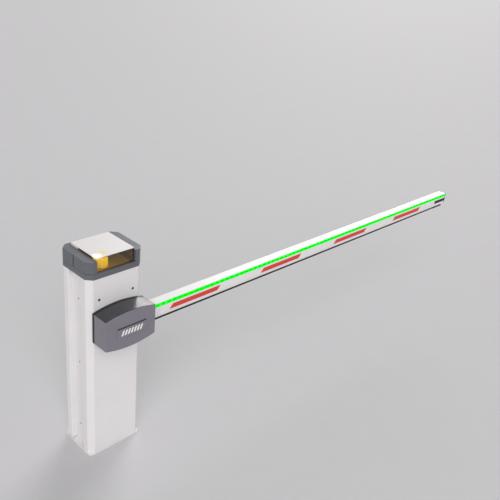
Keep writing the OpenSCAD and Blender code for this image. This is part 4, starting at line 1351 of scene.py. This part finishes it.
@dataclass
class Lamp:
    """The amber lamp in the cap: lens, opal lid, tray and the lit drum."""

    gate: Gate
    half: float = 96.0
    front: float = -98.0
    split: float = 38.0
    back: float = 93.0
    z: Point3 = (961.0, 1024.0, 1027.5)
    drum_at: Point = (-43.0, -52.0)
    drum_r: float = 30.0
    drum_z: float = 963.3
    ribs: int = 30
    rib_depth: float = 1.8
    skirt_h: float = 36.0

    def lens(self) -> None:
        """A clear box open below."""
        x, y0, y1 = self.half - 0.5, self.front, self.split
        low, high = self.z[0], self.z[1]
        outer = Solid.prism(rectangle(-x, y0, x, y1, 3.0), Axis.Z, low, high).eased(0.5, 2, 60)
        inside = rectangle(2.5 - x, y0 + 2.5, x - 2.5, y1 - 2.5, 1.5)
        inner = Solid.prism(inside, Axis.Z, low - 1, high - 2.5)
        self.gate.fit("lamp_lens_clear", outer.less(inner), Looks.LENS, "lamp_lens")

    def lid(self) -> None:
        """The opal lid, and the closed box behind the lens."""
        x, low, mid, top = self.half, *self.z
        lid = Solid.prism(rectangle(-x, self.front - 0.5, x, self.back, 3.5), Axis.Z, mid, top).eased(1.1, 4)
        section = rectangle(0.5 - x, self.split + 0.5, x - 0.5, self.back - 0.5, 2.5)
        outer = Solid.prism(section, Axis.Z, low, mid)
        inner = Solid.box((3 - x, self.split + 3, low - 1), (x - 3, self.back - 3, mid - 1))
        shell = outer.eased(0.4, 2, 60).less(inner)
        self.gate.fit("lamp_roof_opal", Solid.group([lid, shell]), Looks.LID, "lamp_roof")

    def tray(self) -> None:
        """The white tray under the lamp, with a lamp socket and screw bosses."""
        x = self.half - 4
        floor = self.z[0] - 2.7
        base = rectangle(-x, self.front + 4, x, self.back - 4, 4)
        plate = Solid.prism(base, Axis.Z, floor - 3, floor).eased(0.8)
        seat = Solid.turned([(20, floor), (20, floor + 4), (18.6, floor + 5)], Axis.Z, self.drum_at)
        bosses = [
            Solid.turned([(6, floor - 3), (6, floor + 2), (5, floor + 3)], Axis.Z, (a, b), 32)
            for a in (-74, 74)
            for b in (-81, 70)
        ]
        self.gate.fit("lamp_tray_moulded", Solid.group([plate, seat, *bosses]), Looks.TRAY, "lamp_tray")

    def drum(self) -> None:
        """The lit drum: a ribbed skirt under a smooth dome, and the bulb's tip showing on it."""
        skirt = self.skirt_h
        levels = [(0.0, 1.0), (skirt - 2, 1.0), (skirt, 0.985)]
        for a in range(12, 85, 12):
            levels.append((skirt + 16 * math.sin(math.radians(a)), 0.985 * math.cos(math.radians(a))))
        sides = self.ribs * 6
        rings = []
        for up, share in levels:
            depth = self.rib_depth * (1 if up <= skirt else share)
            ring = []
            for k in range(sides):
                turn = 2 * math.pi * k / sides
                r = self.drum_r * share - depth * (0.5 - 0.5 * math.cos(turn * self.ribs))
                x, y = self.drum_at[0] + r * math.cos(turn), self.drum_at[1] + r * math.sin(turn)
                ring.append((x, y, self.drum_z + up))
            rings.append(ring)
        self.gate.fit("lamp_drum_ribbed", Solid.from_rings(rings), Looks.DRUM, "lamp_bulb", crease=60)
        angles = [math.radians(a) for a in range(0, 90, 15)]
        tip = [(8 * math.cos(a), self.drum_z + 46 + 6.2 * math.sin(a)) for a in angles]
        bulb = Solid.turned(tip, Axis.Z, self.drum_at, 32)
        self.gate.fit("lamp_bulb_tip", bulb, Looks.BULB, "lamp_bulb", stands_for=False)

    def build(self) -> None:
        """Makes every piece of the lamp."""
        self.lens()
        self.lid()
        self.tray()
        self.drum()


@dataclass
class Boom:
    """The extruded boom with its lights, reflectors, rubber edge and tip."""

    gate: Gate
    axis_z: float = 708.0
    mid_y: float = -138.5
    root: float = -95.0
    reach: float = 2711.0
    width: float = 49.0
    height: float = 79.0
    wall: float = 2.5
    flank: float = 24.0
    strip_z: Point = (20.5, 37.5)
    strip_depth: float = 3.0
    proud: float = 0.8
    film_z: Point = (-14.0, 8.0)
    film_x0: float = 414.0
    film_pitch: float = 607.0
    film_l: float = 300.0
    film_count: int = 4
    carrier_x: float = 81.0
    tongue_l: float = 129.0
    slot_half: float = 9.0
    slot_depth: float = 8.0
    rubber_half: float = 15.0

    def rail(self, outline: Sequence[Point], x0: float, x1: float) -> Solid:
        """Runs an outline about the boom's own middle along X.

        Args:
            outline: points of y and z about the boom's middle.
            x0: where it starts.
            x1: where it ends.

        Returns:
            The solid.
        """
        return Solid.prism([(self.mid_y + y, self.axis_z + z) for y, z in outline], Axis.X, x0, x1)

    def low_corner(self) -> list[Point]:
        """Draws the rounded lower corner and the flank that leans out above it."""
        w, h = self.width / 2, self.height / 2
        return [*arc(w - 14, -h + 12, 12, -90, -6, 9), (w, -h + self.flank)]

    def side_line(self) -> list[Point]:
        """Draws the right-hand side of the profile from its foot to its top, with its grooves.

        Returns:
            Points of y and z about the boom's middle.
        """
        w, h = self.width / 2, self.height / 2
        low, high = self.strip_z
        deep = w - self.strip_depth
        line = self.low_corner()
        for z in self.film_z:
            start = z - 0.9 if z < 0 else z
            line += [(w, start), (w - 0.5, start + 0.45), (w, start + 0.9)]
        line += [(w, low), (deep, low), (deep, high), (w, high)]
        line += arc(w - 1.4, h - 1.4, 1.4, 0, 90, 4)
        return line

    def tube(self) -> None:
        """The extrusion: grooves for the strips, a slot below, and cut-outs for the tip's tongues."""
        w, h, t = self.width / 2, self.height / 2, self.wall
        right = self.side_line()
        half, deep = self.slot_half, self.slot_depth
        slot = [(half, -h + deep), (half, -h)]
        start = [(half + t, -h + deep + t), (half + t, -h + t + 0.3)]
        outline = both_sides([*slot, *right])
        skin = self.rail(outline, self.root, self.reach)
        deep = w - self.strip_depth - t
        core = start + arc(w - 14, -h + 12, 12 - t, -78, -6, 8)
        shelf = self.strip_z[0] - t
        core += [(w - t, -h + self.flank), (w - t, shelf), (deep, shelf), (deep, h - t)]
        hollow = self.rail(both_sides(core), self.root - 1, self.reach + 1)
        tongues = Solid.box(
            (self.reach - self.tongue_l, self.mid_y - w - 1, self.axis_z + self.film_z[0]),
            (self.reach + 1, self.mid_y + w + 1, self.axis_z + self.film_z[1]),
        )
        bore = [(5.5, self.mid_y - w - 1), (5.5, self.mid_y + w + 1)]
        bores = [
            Solid.turned(bore, Axis.Y, (x, self.axis_z + z), 32)
            for x in (-55, 55)
            for z in (-20, 11)
        ]
        tube = skin.less(hollow, tongues, *bores)
        self.gate.fit("boom_tube_extruded", tube, Looks.BOOM, "boom_tube", crease=40)

    def strips(self) -> None:
        """The lit covers of the LED strips, one in each face, slightly crowned."""
        w, (low, high) = self.width / 2, self.strip_z
        inner, outer = w - self.strip_depth + 0.05, w + self.proud
        crown = [(w + 0.05, low + 0.05), (w + 0.05, low - 1.8), (outer - 0.15, low - 1.5), (outer, low + 1)]
        crown += [(outer, high - 2), (outer - 0.15, high + 0.3)]
        crown += [(w + 0.05, high + 0.5), (w + 0.05, high - 0.05)]
        outline = [(inner, low + 0.05), *crown, (inner, high - 0.05)]
        right = self.rail(outline, self.carrier_x, self.reach - 0.5)
        covers = right.paired(Axis.Y, self.mid_y)
        self.gate.fit("led_covers_lit", covers, Looks.LEDS, "led_covers", crease=50)

    def reflectors(self) -> None:
        """Slanted strips of film, four on each face."""
        w, made = self.width / 2, []
        low, high = self.film_z[0] - 1.0, self.film_z[1] + 1.0
        lean, half = (self.film_z[1] - self.film_z[0]) / 2, self.film_l / 2
        for k in range(self.film_count):
            x = self.film_x0 + k * self.film_pitch
            shape = [(x - half - lean, low), (x + half - lean, low)]
            shape += [(x + half + lean, high), (x - half + lean, high)]
            shape = [(a, self.axis_z + b) for a, b in softened(shape, 1.2)]
            made.append(Solid.prism(shape, Axis.Y, self.mid_y - w - 0.4, self.mid_y - w).eased(0.15, 2))
        made += [one.mirrored(Axis.Y, self.mid_y) for one in made]
        self.gate.fit("reflectors_film", Solid.group(made), Looks.FILM, "reflectors")

    def rubber_edge(self) -> None:
        """The hollow edge under the boom, ribbed along its sides, on a foot that fills the slot."""
        h = self.height / 2
        r, foot = self.rubber_half, self.slot_half
        side = [(foot, -h), (r - 1.8, -h - 0.2), (r, -h - 1.8)]
        for k in range(3):
            z = -h - 2.9 - 2.0 * k
            side += [(r, z), (r - 0.6, z - 0.4), (r, z - 0.8)]
        side += arc(r - 4.0, -h - 8.8, 4.0, 0, -90, 6)
        root = [(8.8, -h + 6), (8.8, -h)]
        outer = root + side
        inner = softened([(foot, -h - 9), (foot, -h - 4), (-foot, -h - 4), (-foot, -h - 9)], 1.8)
        x1 = self.reach - 112
        bulb = self.rail(both_sides(outer), self.carrier_x, x1)
        bulb = bulb.less(self.rail(inner, self.carrier_x - 1, x1 + 1))
        self.gate.fit("rubber_edge_extruded", bulb, Looks.EPDM, "rubber_edge", crease=32)

    def end_cap(self) -> None:
        """The moulded cap over the boom's end, with a tongue along each face."""
        w, h = self.width / 2, self.height / 2
        right = self.low_corner() + arc(w - 1.4, h - 1.4, 1.4, 0, 90, 4)
        plate = self.rail(both_sides(right), self.reach, self.reach + 7).eased(2.0, 4)
        low, high = self.film_z[0] + 0.3, self.film_z[1] - 0.3
        start = self.reach - self.tongue_l + 0.3
        tongue = self.rail(rectangle(w - self.wall, low, w, high), start, self.reach + 1).eased(0.5, 2)
        plug = self.rail(rectangle(self.wall - w, -15, w - self.wall, 1, 2), self.reach - 40, self.reach + 1)
        parts = [plate, tongue, tongue.mirrored(Axis.Y, self.mid_y), plug]
        self.gate.fit("boom_end_cap_moulded", Solid.group(parts), Looks.POLYAMIDE, "boom_end_cap")

    def tip_foot(self) -> None:
        """A block of solid rubber under the tip, with a tread on its sole."""
        h = self.height / 2
        sole = [(-15 + 1.5 * k, -h - 16 + (0.9 if k % 4 >= 2 else 0.0)) for k in range(2, 19)]
        r = self.rubber_half
        body = both_sides([(r, -h - 11), (r, -h - 4), (r - 3, -h)])
        block = self.rail(sole + body, self.reach - 108, self.reach - 12).eased(1.0, 3, 40)
        root = self.rail(rectangle(-8.8, -h - 1, 8.8, -h + 6), self.reach - 108, self.reach - 12)
        self.gate.fit("tip_foot_moulded", Solid.group([block, root]), Looks.EPDM, "tip_foot")

    def build(self) -> None:
        """Makes every piece of the boom."""
        self.tube()
        self.strips()
        self.reflectors()
        self.rubber_edge()
        self.end_cap()
        self.tip_foot()


@dataclass
class Cover:
    """The grey cover over the boom's root, and the carrier that it hides."""

    gate: Gate
    axis_z: float = 708.0
    x: float = 7.5
    drop: float = 2.0
    length: float = 262.0
    front: float = -205.0
    back: float = -115.0
    end_half: float = 73.0
    rise: float = 18.0
    wall: float = 3.0
    gap_x: Point = (121.0, 141.0)
    gap_front: float = -166.0
    gap_z: Point = (-54.5, 42.5)
    badge_at: Point = (11.5, 698.5)
    badge: Point = (153.0, 53.0)
    bars: int = 7
    bolts: tuple[Point, ...] = ((-55, 688), (55, 688), (-55, 719), (55, 719))

    def outline(self, inset: float, shorter: float = 0.0) -> list[Point]:
        """Draws the cover in x and z: straight ends between two arched edges.

        Args:
            inset: how far inside the outer face.
            shorter: how much more each end is drawn in.

        Returns:
            The outline.
        """
        half = self.length / 2 - inset - shorter
        r = ((self.length / 2) ** 2 + self.rise**2) / (2 * self.rise)
        lift = self.end_half + self.rise - r
        reach = math.degrees(math.asin(half / (r - inset)))
        top = arc(self.x, self.axis_z - self.drop + lift, r - inset, 90 - reach, 90 + reach, 28)
        low = arc(self.x, self.axis_z - self.drop - lift, r - inset, 270 - reach, 270 + reach, 28)
        return top + low

    def boom_gap(self, start: float) -> Solid:
        """The room for the boom in the cover's end, from the given x on."""
        low, high = (self.axis_z + z for z in self.gap_z)
        return Solid.box((start, self.gap_front, low), (self.gap_x[1], self.back + 9, high))

    def shell(self) -> None:
        """The moulded box, open at the back, with a cut-out where the boom comes through."""
        outer = Solid.prism(self.outline(0), Axis.Y, self.front, self.back - 5.5).eased(2.6, 4, 40)
        inner = Solid.prism(self.outline(self.wall), Axis.Y, self.front + self.wall, self.back + 9)
        bore, (x, z) = [(3.2, self.front - 1), (3.2, self.front + 4)], self.badge_at
        bores = [Solid.turned(bore, Axis.Y, (x + dx, z), 24) for dx in (-30, 30)]
        # Faces that look up or down take the darker band finish: painted shade on the cover's arch
        self.gate.fit(
            "boom_cover_moulded",
            outer.less(inner.eased(1.0, 2, 40), self.boom_gap(self.gap_x[0]), *bores),
            Looks.COVER,
            "boom_cover",
            second=Looks.COVER_SHADED_TOP,
            chooses=lambda face: abs(face.normal.z) > 0.55,
            crease=40,
        )

    def cover_gap_shadow_plate(self) -> None:
        """A black plate on the cover's back that closes most of the gap to the cabinet: painted shadow for
        the shade in that gap.
        """
        plate = Solid.prism(self.outline(0.2), Axis.Y, self.back - 5.6, self.back + 7.8)
        inner = Solid.prism(self.outline(14), Axis.Y, self.back - 7, self.back + 9)
        ring = plate.less(inner, self.boom_gap(self.gap_x[0] - 5))
        # Black polyamide in the gap between cover and cabinet: painted shadow
        self.gate.fit("cover_gap_painted_shadow", ring, Looks.POLYAMIDE, "boom_cover", stands_for=False)

    def badge_plate(self) -> None:
        """The raised badge with a wide chamfer, and a generic row of slanted bars on it."""
        (x, z), (w, h) = self.badge_at, self.badge
        rings = []
        for y, inset in ((self.front - 0.3, 0.0), (self.front - 2.2, 0.0), (self.front - 4.5, 3.2)):
            a, b = w / 2 - inset, h / 2 - inset
            outline = rectangle(x - a, z - b, x + a, z + b, 4.5 - inset)
            rings.append([Axis.Y.place(*p, y) for p in outline])
        # The badge's upward-facing bevel takes the darker band finish: painted shade
        self.gate.fit(
            "badge_plate_moulded",
            Solid.from_rings(rings),
            Looks.COVER,
            "badge",
            second=Looks.COVER_SHADED_TOP,
            chooses=lambda face: face.normal.z > 0.4,
            crease=25,
        )
        pitch, tall, lean, thick = 16.0, 25.0, 10.0, 9.0
        made = []
        for k in range(self.bars):
            left = x - pitch * self.bars / 2 + pitch * k - lean / 2 + 3
            low, high = z - tall / 2, z + tall / 2
            shape = [(left, low), (left + thick, low), (left + thick + lean, high), (left + lean, high)]
            made.append(Solid.prism(softened(shape, 0.8), Axis.Y, self.front - 4.9, self.front - 4.4))
        self.gate.fit("badge_bars_printed", Solid.group(made), Looks.INK, "badge", stands_for=False)

    def carrier(self) -> None:
        """Flange, clamp plate, bolts with washers, and the posts that hold the cover."""
        self.gate.refine("boom_flange", Looks.ZINC, 0.8)
        self.gate.refine("clamp_plate", Looks.ZINC, 0.8)
        self.gate.refine("cover_posts", Looks.ZINC, 0.6)
        self.gate.refine("cover_screws", Looks.ZINC, 0.2)
        made = []
        for at in self.bolts:
            shank = Solid.turned([(5, -169.9), (5, -108.9)], Axis.Y, at, 32)
            head = Solid.prism(hex_outline(15.5, *at), Axis.Y, -176.9, -171.4).eased(0.6)
            washer = Solid.hollow([(5.2, -171.4), (10, -171.4), (10, -169.9), (5.2, -169.9)], Axis.Y, at)
            made += [shank, head, washer]
        self.gate.fit("boom_bolts_hex_head", Solid.group(made), Looks.BLACKED, "boom_bolts")

    def build(self) -> None:
        """Makes every piece of the cover and the carrier."""
        self.shell()
        self.cover_gap_shadow_plate()
        self.badge_plate()
        self.carrier()


@dataclass
class Drive:
    """Everything that turns the boom: shaft, bearings, lever, link, gearmotor and spring."""

    gate: Gate
    motor_at: Point = (50.0, -54.0)
    motor_z: Point = (230.0, 380.0)
    motor_r: float = 28.0
    fins: int = 24
    spring_at: Point = (-51.2132, 1.0)
    spring_z: Point = (165.0, 570.0)
    spring_r: float = 18.0
    wire_r: float = 3.5
    coils: int = 17
    eye_r: float = 9.0
    plain: tuple[tuple[str, Looks, float], ...] = (
        ("mounting_frame", Looks.ZINC, 0.8),
        ("bearing_housings", Looks.CASTING, 1.5),
        ("bearings", Looks.RING, 0.5),
        ("bearing_bridge", Looks.ZINC, 0.8),
        ("end_stops", Looks.EPDM, 1.5),
        ("shaft_seal", Looks.EPDM, 0.5),
        ("gearbox_housing", Looks.CASTING, 1.5),
        ("gearbox_cover", Looks.CASTING, 0.8),
        ("motor_end_cap", Looks.CASTING, 1.0),
        ("spring_bracket", Looks.ZINC, 0.8),
        ("spring_eye_bolt", Looks.ZINC, 0.5),
        ("main_shaft", Looks.BLACKED, 0.8),
        ("boom_lever", Looks.ZINC, 1.0),
        ("lever_pins", Looks.BLACKED, 0.6),
        ("limit_cams", Looks.BLACKED, 0.5),
        ("output_shaft", Looks.BLACKED, 0.8),
        ("worm_wheel", Looks.BRONZE, 0.3),
        ("crank_arm", Looks.ZINC, 1.0),
        ("link_rod", Looks.BLACKED, 0.8),
        ("link_bushes", Looks.BRONZE, 0.3),
        ("spring_yoke", Looks.ZINC, 0.8),
        ("frame_bolts", Looks.BLACKED, 0.4),
        ("limit_sensors", Looks.NICKEL, 0.4),
        ("worm_shaft", Looks.BLACKED, 0.2),
    )

    def motor(self) -> None:
        """The motor body: cooling fins all round between two smooth bands."""
        (x, y), (low, high) = self.motor_at, self.motor_z
        sides, rings = self.fins * 6, []
        share = {0: 1.0, 1: 1.0, 2: 0.9, 3: 0.9, 4: 0.9, 5: 1.0}
        levels = [(low, 0.0), (low + 12, 0.0), (low + 14, 1.0)]
        levels += [(high - 14, 1.0), (high - 12, 0.0), (high, 0.0)]
        for z, deep in levels:
            ring = []
            for k in range(sides):
                turn = 2 * math.pi * k / sides
                r = self.motor_r * (1 - deep * (1 - share[k % 6]))
                ring.append((x + r * math.cos(turn), y + r * math.sin(turn), z))
            rings.append(ring)
        body = Solid.from_rings(rings)
        neck = Solid.turned([(25, high), (25, high + 6)], Axis.Z, self.motor_at)
        self.gate.fit("motor_body_finned", Solid.group([body, neck]), Looks.ENAMEL, "motor_body", crease=30)
        box = Solid.prism(rectangle(x - 16, y + 24, x + 16, y + 44, 3), Axis.Z, low + 30, low + 80).eased(1.5)
        self.gate.fit("motor_terminal_box", box, Looks.ENAMEL, "motor_body", stands_for=False)

    def release(self) -> None:
        """The red hand lever on the gearbox, with a rounded knob."""
        self.gate.refine("release_lever", Looks.RELEASE, 1.2, 3)

    def spring(self) -> None:
        """The balance spring: a close helix that closes in to an eye at both ends."""
        low, high = self.spring_z[0] + 2.2 * self.eye_r, self.spring_z[1] - 2.2 * self.eye_r
        each, path = 22, []
        steps = each * self.coils
        for k in range(steps + 1):
            t = k / steps
            close = min(1.0, min(t, 1 - t) * steps / each)
            r = self.spring_r * math.sin(close * math.pi / 2)
            turn = 2 * math.pi * k / each
            x = self.spring_at[0] + r * math.cos(turn)
            path.append((x, self.spring_at[1] + r * math.sin(turn), low + t * (high - low)))
        spring = self.gate.fit(
            "balance_spring_wound", Solid.tube(path, self.wire_r, 12), Looks.WIRE, "balance_spring", crease=60
        )
        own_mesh(spring)

    def build(self) -> None:
        """Makes every piece of the drive."""
        for node, look, ease in self.plain:
            self.gate.refine(node, look, ease)
        self.motor()
        self.release()
        self.spring()


@dataclass
class Electrics:
    """Transformer, and the control box with its board."""

    gate: Gate
    core_x: Point = (14.0, 94.0)
    board_y: float = -73.0
    board_t: float = 1.6

    def transformer(self) -> None:
        """A laminated core in a foot, with the winding standing out of it on one side."""
        x0, x1 = self.core_x
        foot = Solid.prism(rectangle(x0, -83, x1, -30, 3), Axis.Z, 50, 60).eased(0.8)
        sheets = []
        for k in range(9):
            y = -71 + 3.25 * k
            sheets.append(Solid.box((x0, y, 60), (x1, y + 2.7, 128)).eased(0.3, 1))
        core = Solid.box((x0 + 1, -70.8, 60), (x1 - 1, -42.2, 127))
        self.gate.fit("transformer_core", Solid.group([foot, core, *sheets]), Looks.LAMINATED, "transformer")
        coil = Solid.prism(rectangle(28, 68, 80, 120, 7), Axis.Y, -42.2, -24).eased(3.0, 4)
        self.gate.fit("transformer_winding", coil, Looks.WINDING, "transformer", stands_for=False)

    def box(self) -> None:
        """The open tray of the control box and its lid, with screws at the lid's corners."""
        self.gate.refine("control_box", Looks.BOX, 1.2, 3)
        self.gate.refine("control_box_lid", Looks.BOX, 0.8)
        screws = [socket_screw(Axis.Y, (x, z), -33, 1, 4.0, (2, 2)) for x in (-84, 84) for z in (786, 890)]
        self.gate.fit("lid_screws", Solid.group(screws), Looks.ZINC, "control_box_lid", stands_for=False)

    def board(self) -> None:
        """The board on its pillars, with terminals, relays, a chip and capacitors."""
        y, face = self.board_y, self.board_y + self.board_t
        plate = Solid.box((-82, y, 788), (82, face, 890)).eased(0.3, 1)
        pillars = [Solid.prism(hex_outline(5.5, x, z), Axis.Y, -80, y) for x in (-76, 76) for z in (794, 884)]
        self.gate.fit("control_board_plate", Solid.group([plate, *pillars]), Looks.BOARD, "control_board")
        blocks = []
        for k in range(10):
            x = -76 + 15 * k
            block = Solid.box((x, face, 791), (x + 13, y + 12, 801)).eased(0.6, 2)
            screw = Solid.turned([(3, y + 11), (3, y + 13)], Axis.Y, (x + 6.5, 796), 24)
            blocks.append(block.less(screw))
        row = Solid.group(blocks)
        self.gate.fit("board_terminals", row, Looks.TERMINAL, "control_board", stands_for=False)
        relays = [Solid.box((x, face, 855), (x + 20, y + 17, 883)).eased(1.0, 2) for x in (-70, -44, -18)]
        chip = Solid.box((20, face, 850), (56, y + 8, 868)).eased(0.6, 2)
        can = [(3, face), (3, y + 5.5), (2.4, y + 6)]
        small = [Solid.turned(can, Axis.Y, (x, 838), 24) for x in (26, 38, 50)]
        large = Solid.turned([(8, face), (8, y + 25), (7, y + 26)], Axis.Y, (70, 862), 40)
        dark = Solid.group([*relays, chip, *small, large])
        self.gate.fit("board_parts", dark, Looks.SLEEVE, "control_board", stands_for=False)

    def build(self) -> None:
        """Makes every piece of the electrics."""
        self.transformer()
        self.box()
        self.board()


# ---------------------------------------------------------------- studio


@dataclass
class Studio:
    """The pale floor, the soft lights and the camera."""

    azimuth: float = -0.832667
    elevation: float = 0.447202
    roll: float = 0.10013
    focal_mm: float = 49.407
    sensor_mm: float = 36.0
    shift: Point3 = (-0.663304, -0.269754, 3.081384)
    aim_height: float = 0.7
    floor_r: float = 60.0
    horizon: str = "#D0CFCF"
    zenith: str = "#8A898A"
    suns: tuple[tuple[str, Point3, float, float, str], ...] = (
        # name, the side that it shines from, strength, spread in degrees, colour
        ("key", (-0.68, -0.78, 0.68), 1.65, 50.0, "#FFFCFA"),
        ("back", (0.78, 0.50, 0.42), 1.55, 34.0, "#FFFDFC"),
    )

    def camera(self) -> None:
        """Stands the camera where the boom runs away to the upper right."""
        a, e = self.azimuth, self.elevation
        back = Vector((math.sin(a) * math.cos(e), -math.cos(a) * math.cos(e), math.sin(e)))
        right = Vector((0, 0, 1)).cross(back).normalized()
        up = back.cross(right)
        c, s = math.cos(self.roll), math.sin(self.roll)
        right, up = right * c + up * s, up * c - right * s
        turn = Matrix((right, up, back)).transposed()
        data = bpy.data.cameras.new("camera")
        data.sensor_width, data.lens = self.sensor_mm, self.focal_mm
        data.clip_end = 200.0
        camera = bpy.data.objects.new("camera", data)
        across, above, away = self.shift
        place = Vector((0, 0, self.aim_height)) - turn @ Vector((across, above, -away))
        camera.matrix_world = Matrix.Translation(place) @ turn.to_4x4()
        bpy.context.scene.collection.objects.link(camera)
        bpy.context.scene.camera = camera

    def floor(self) -> None:
        """A wide plain disc just under the base plate."""
        bm = bmesh.new()
        outer = [bm.verts.new((x, y, -0.0003)) for x, y in circle(self.floor_r, steps=96)]
        bm.faces.new(outer)
        mesh = bpy.data.meshes.new("floor")
        bm.to_mesh(mesh)
        bm.free()
        mesh.materials.append(Looks.FLOOR.value.material())
        floor = bpy.data.objects.new("floor", mesh)
        bpy.context.scene.collection.objects.link(floor)

    def light(self) -> None:
        """Two very soft suns, like large light boxes, under a sky that pales towards the horizon."""
        world = bpy.data.worlds.new("sky")
        bench = Bench(world)
        side = bench.add("ShaderNodeTexCoord", {}, "Generated")
        height = bench.add("ShaderNodeSeparateXYZ", {"Vector": side}, "Z")
        shades = {0: height, 6: linear(self.horizon), 7: linear(self.zenith)}
        sky = bench.add("ShaderNodeMix", shades, **MIX)
        bench.feed(bench.tree.nodes["Background"], {"Color": sky})
        bpy.context.scene.world = world
        for name, source, strength, spread, shade in self.suns:
            data = bpy.data.lights.new(name, "SUN")
            data.energy, data.angle, data.color = strength, math.radians(spread), linear(shade)[:3]
            lamp = bpy.data.objects.new(name, data)
            lamp.rotation_euler = Vector(source).to_track_quat("Z", "Y").to_euler()
            bpy.context.scene.collection.objects.link(lamp)
        bpy.context.scene.view_settings.view_transform = "Standard"

    def build(self) -> None:
        """Sets up the whole studio."""
        self.camera()
        self.floor()
        self.light()


def main() -> None:
    """Builds the gate round its frame."""
    logging.basicConfig(level=logging.INFO, format="%(name)s: %(message)s")
    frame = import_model()
    Studio().build()
    gate = Gate(frame)
    for assembly in (Cabinet, Cap, Lamp, Boom, Cover, Drive, Electrics):
        log.info("building %s", assembly.__name__)
        assembly(gate).build()


if __name__ == "__main__":
    main()
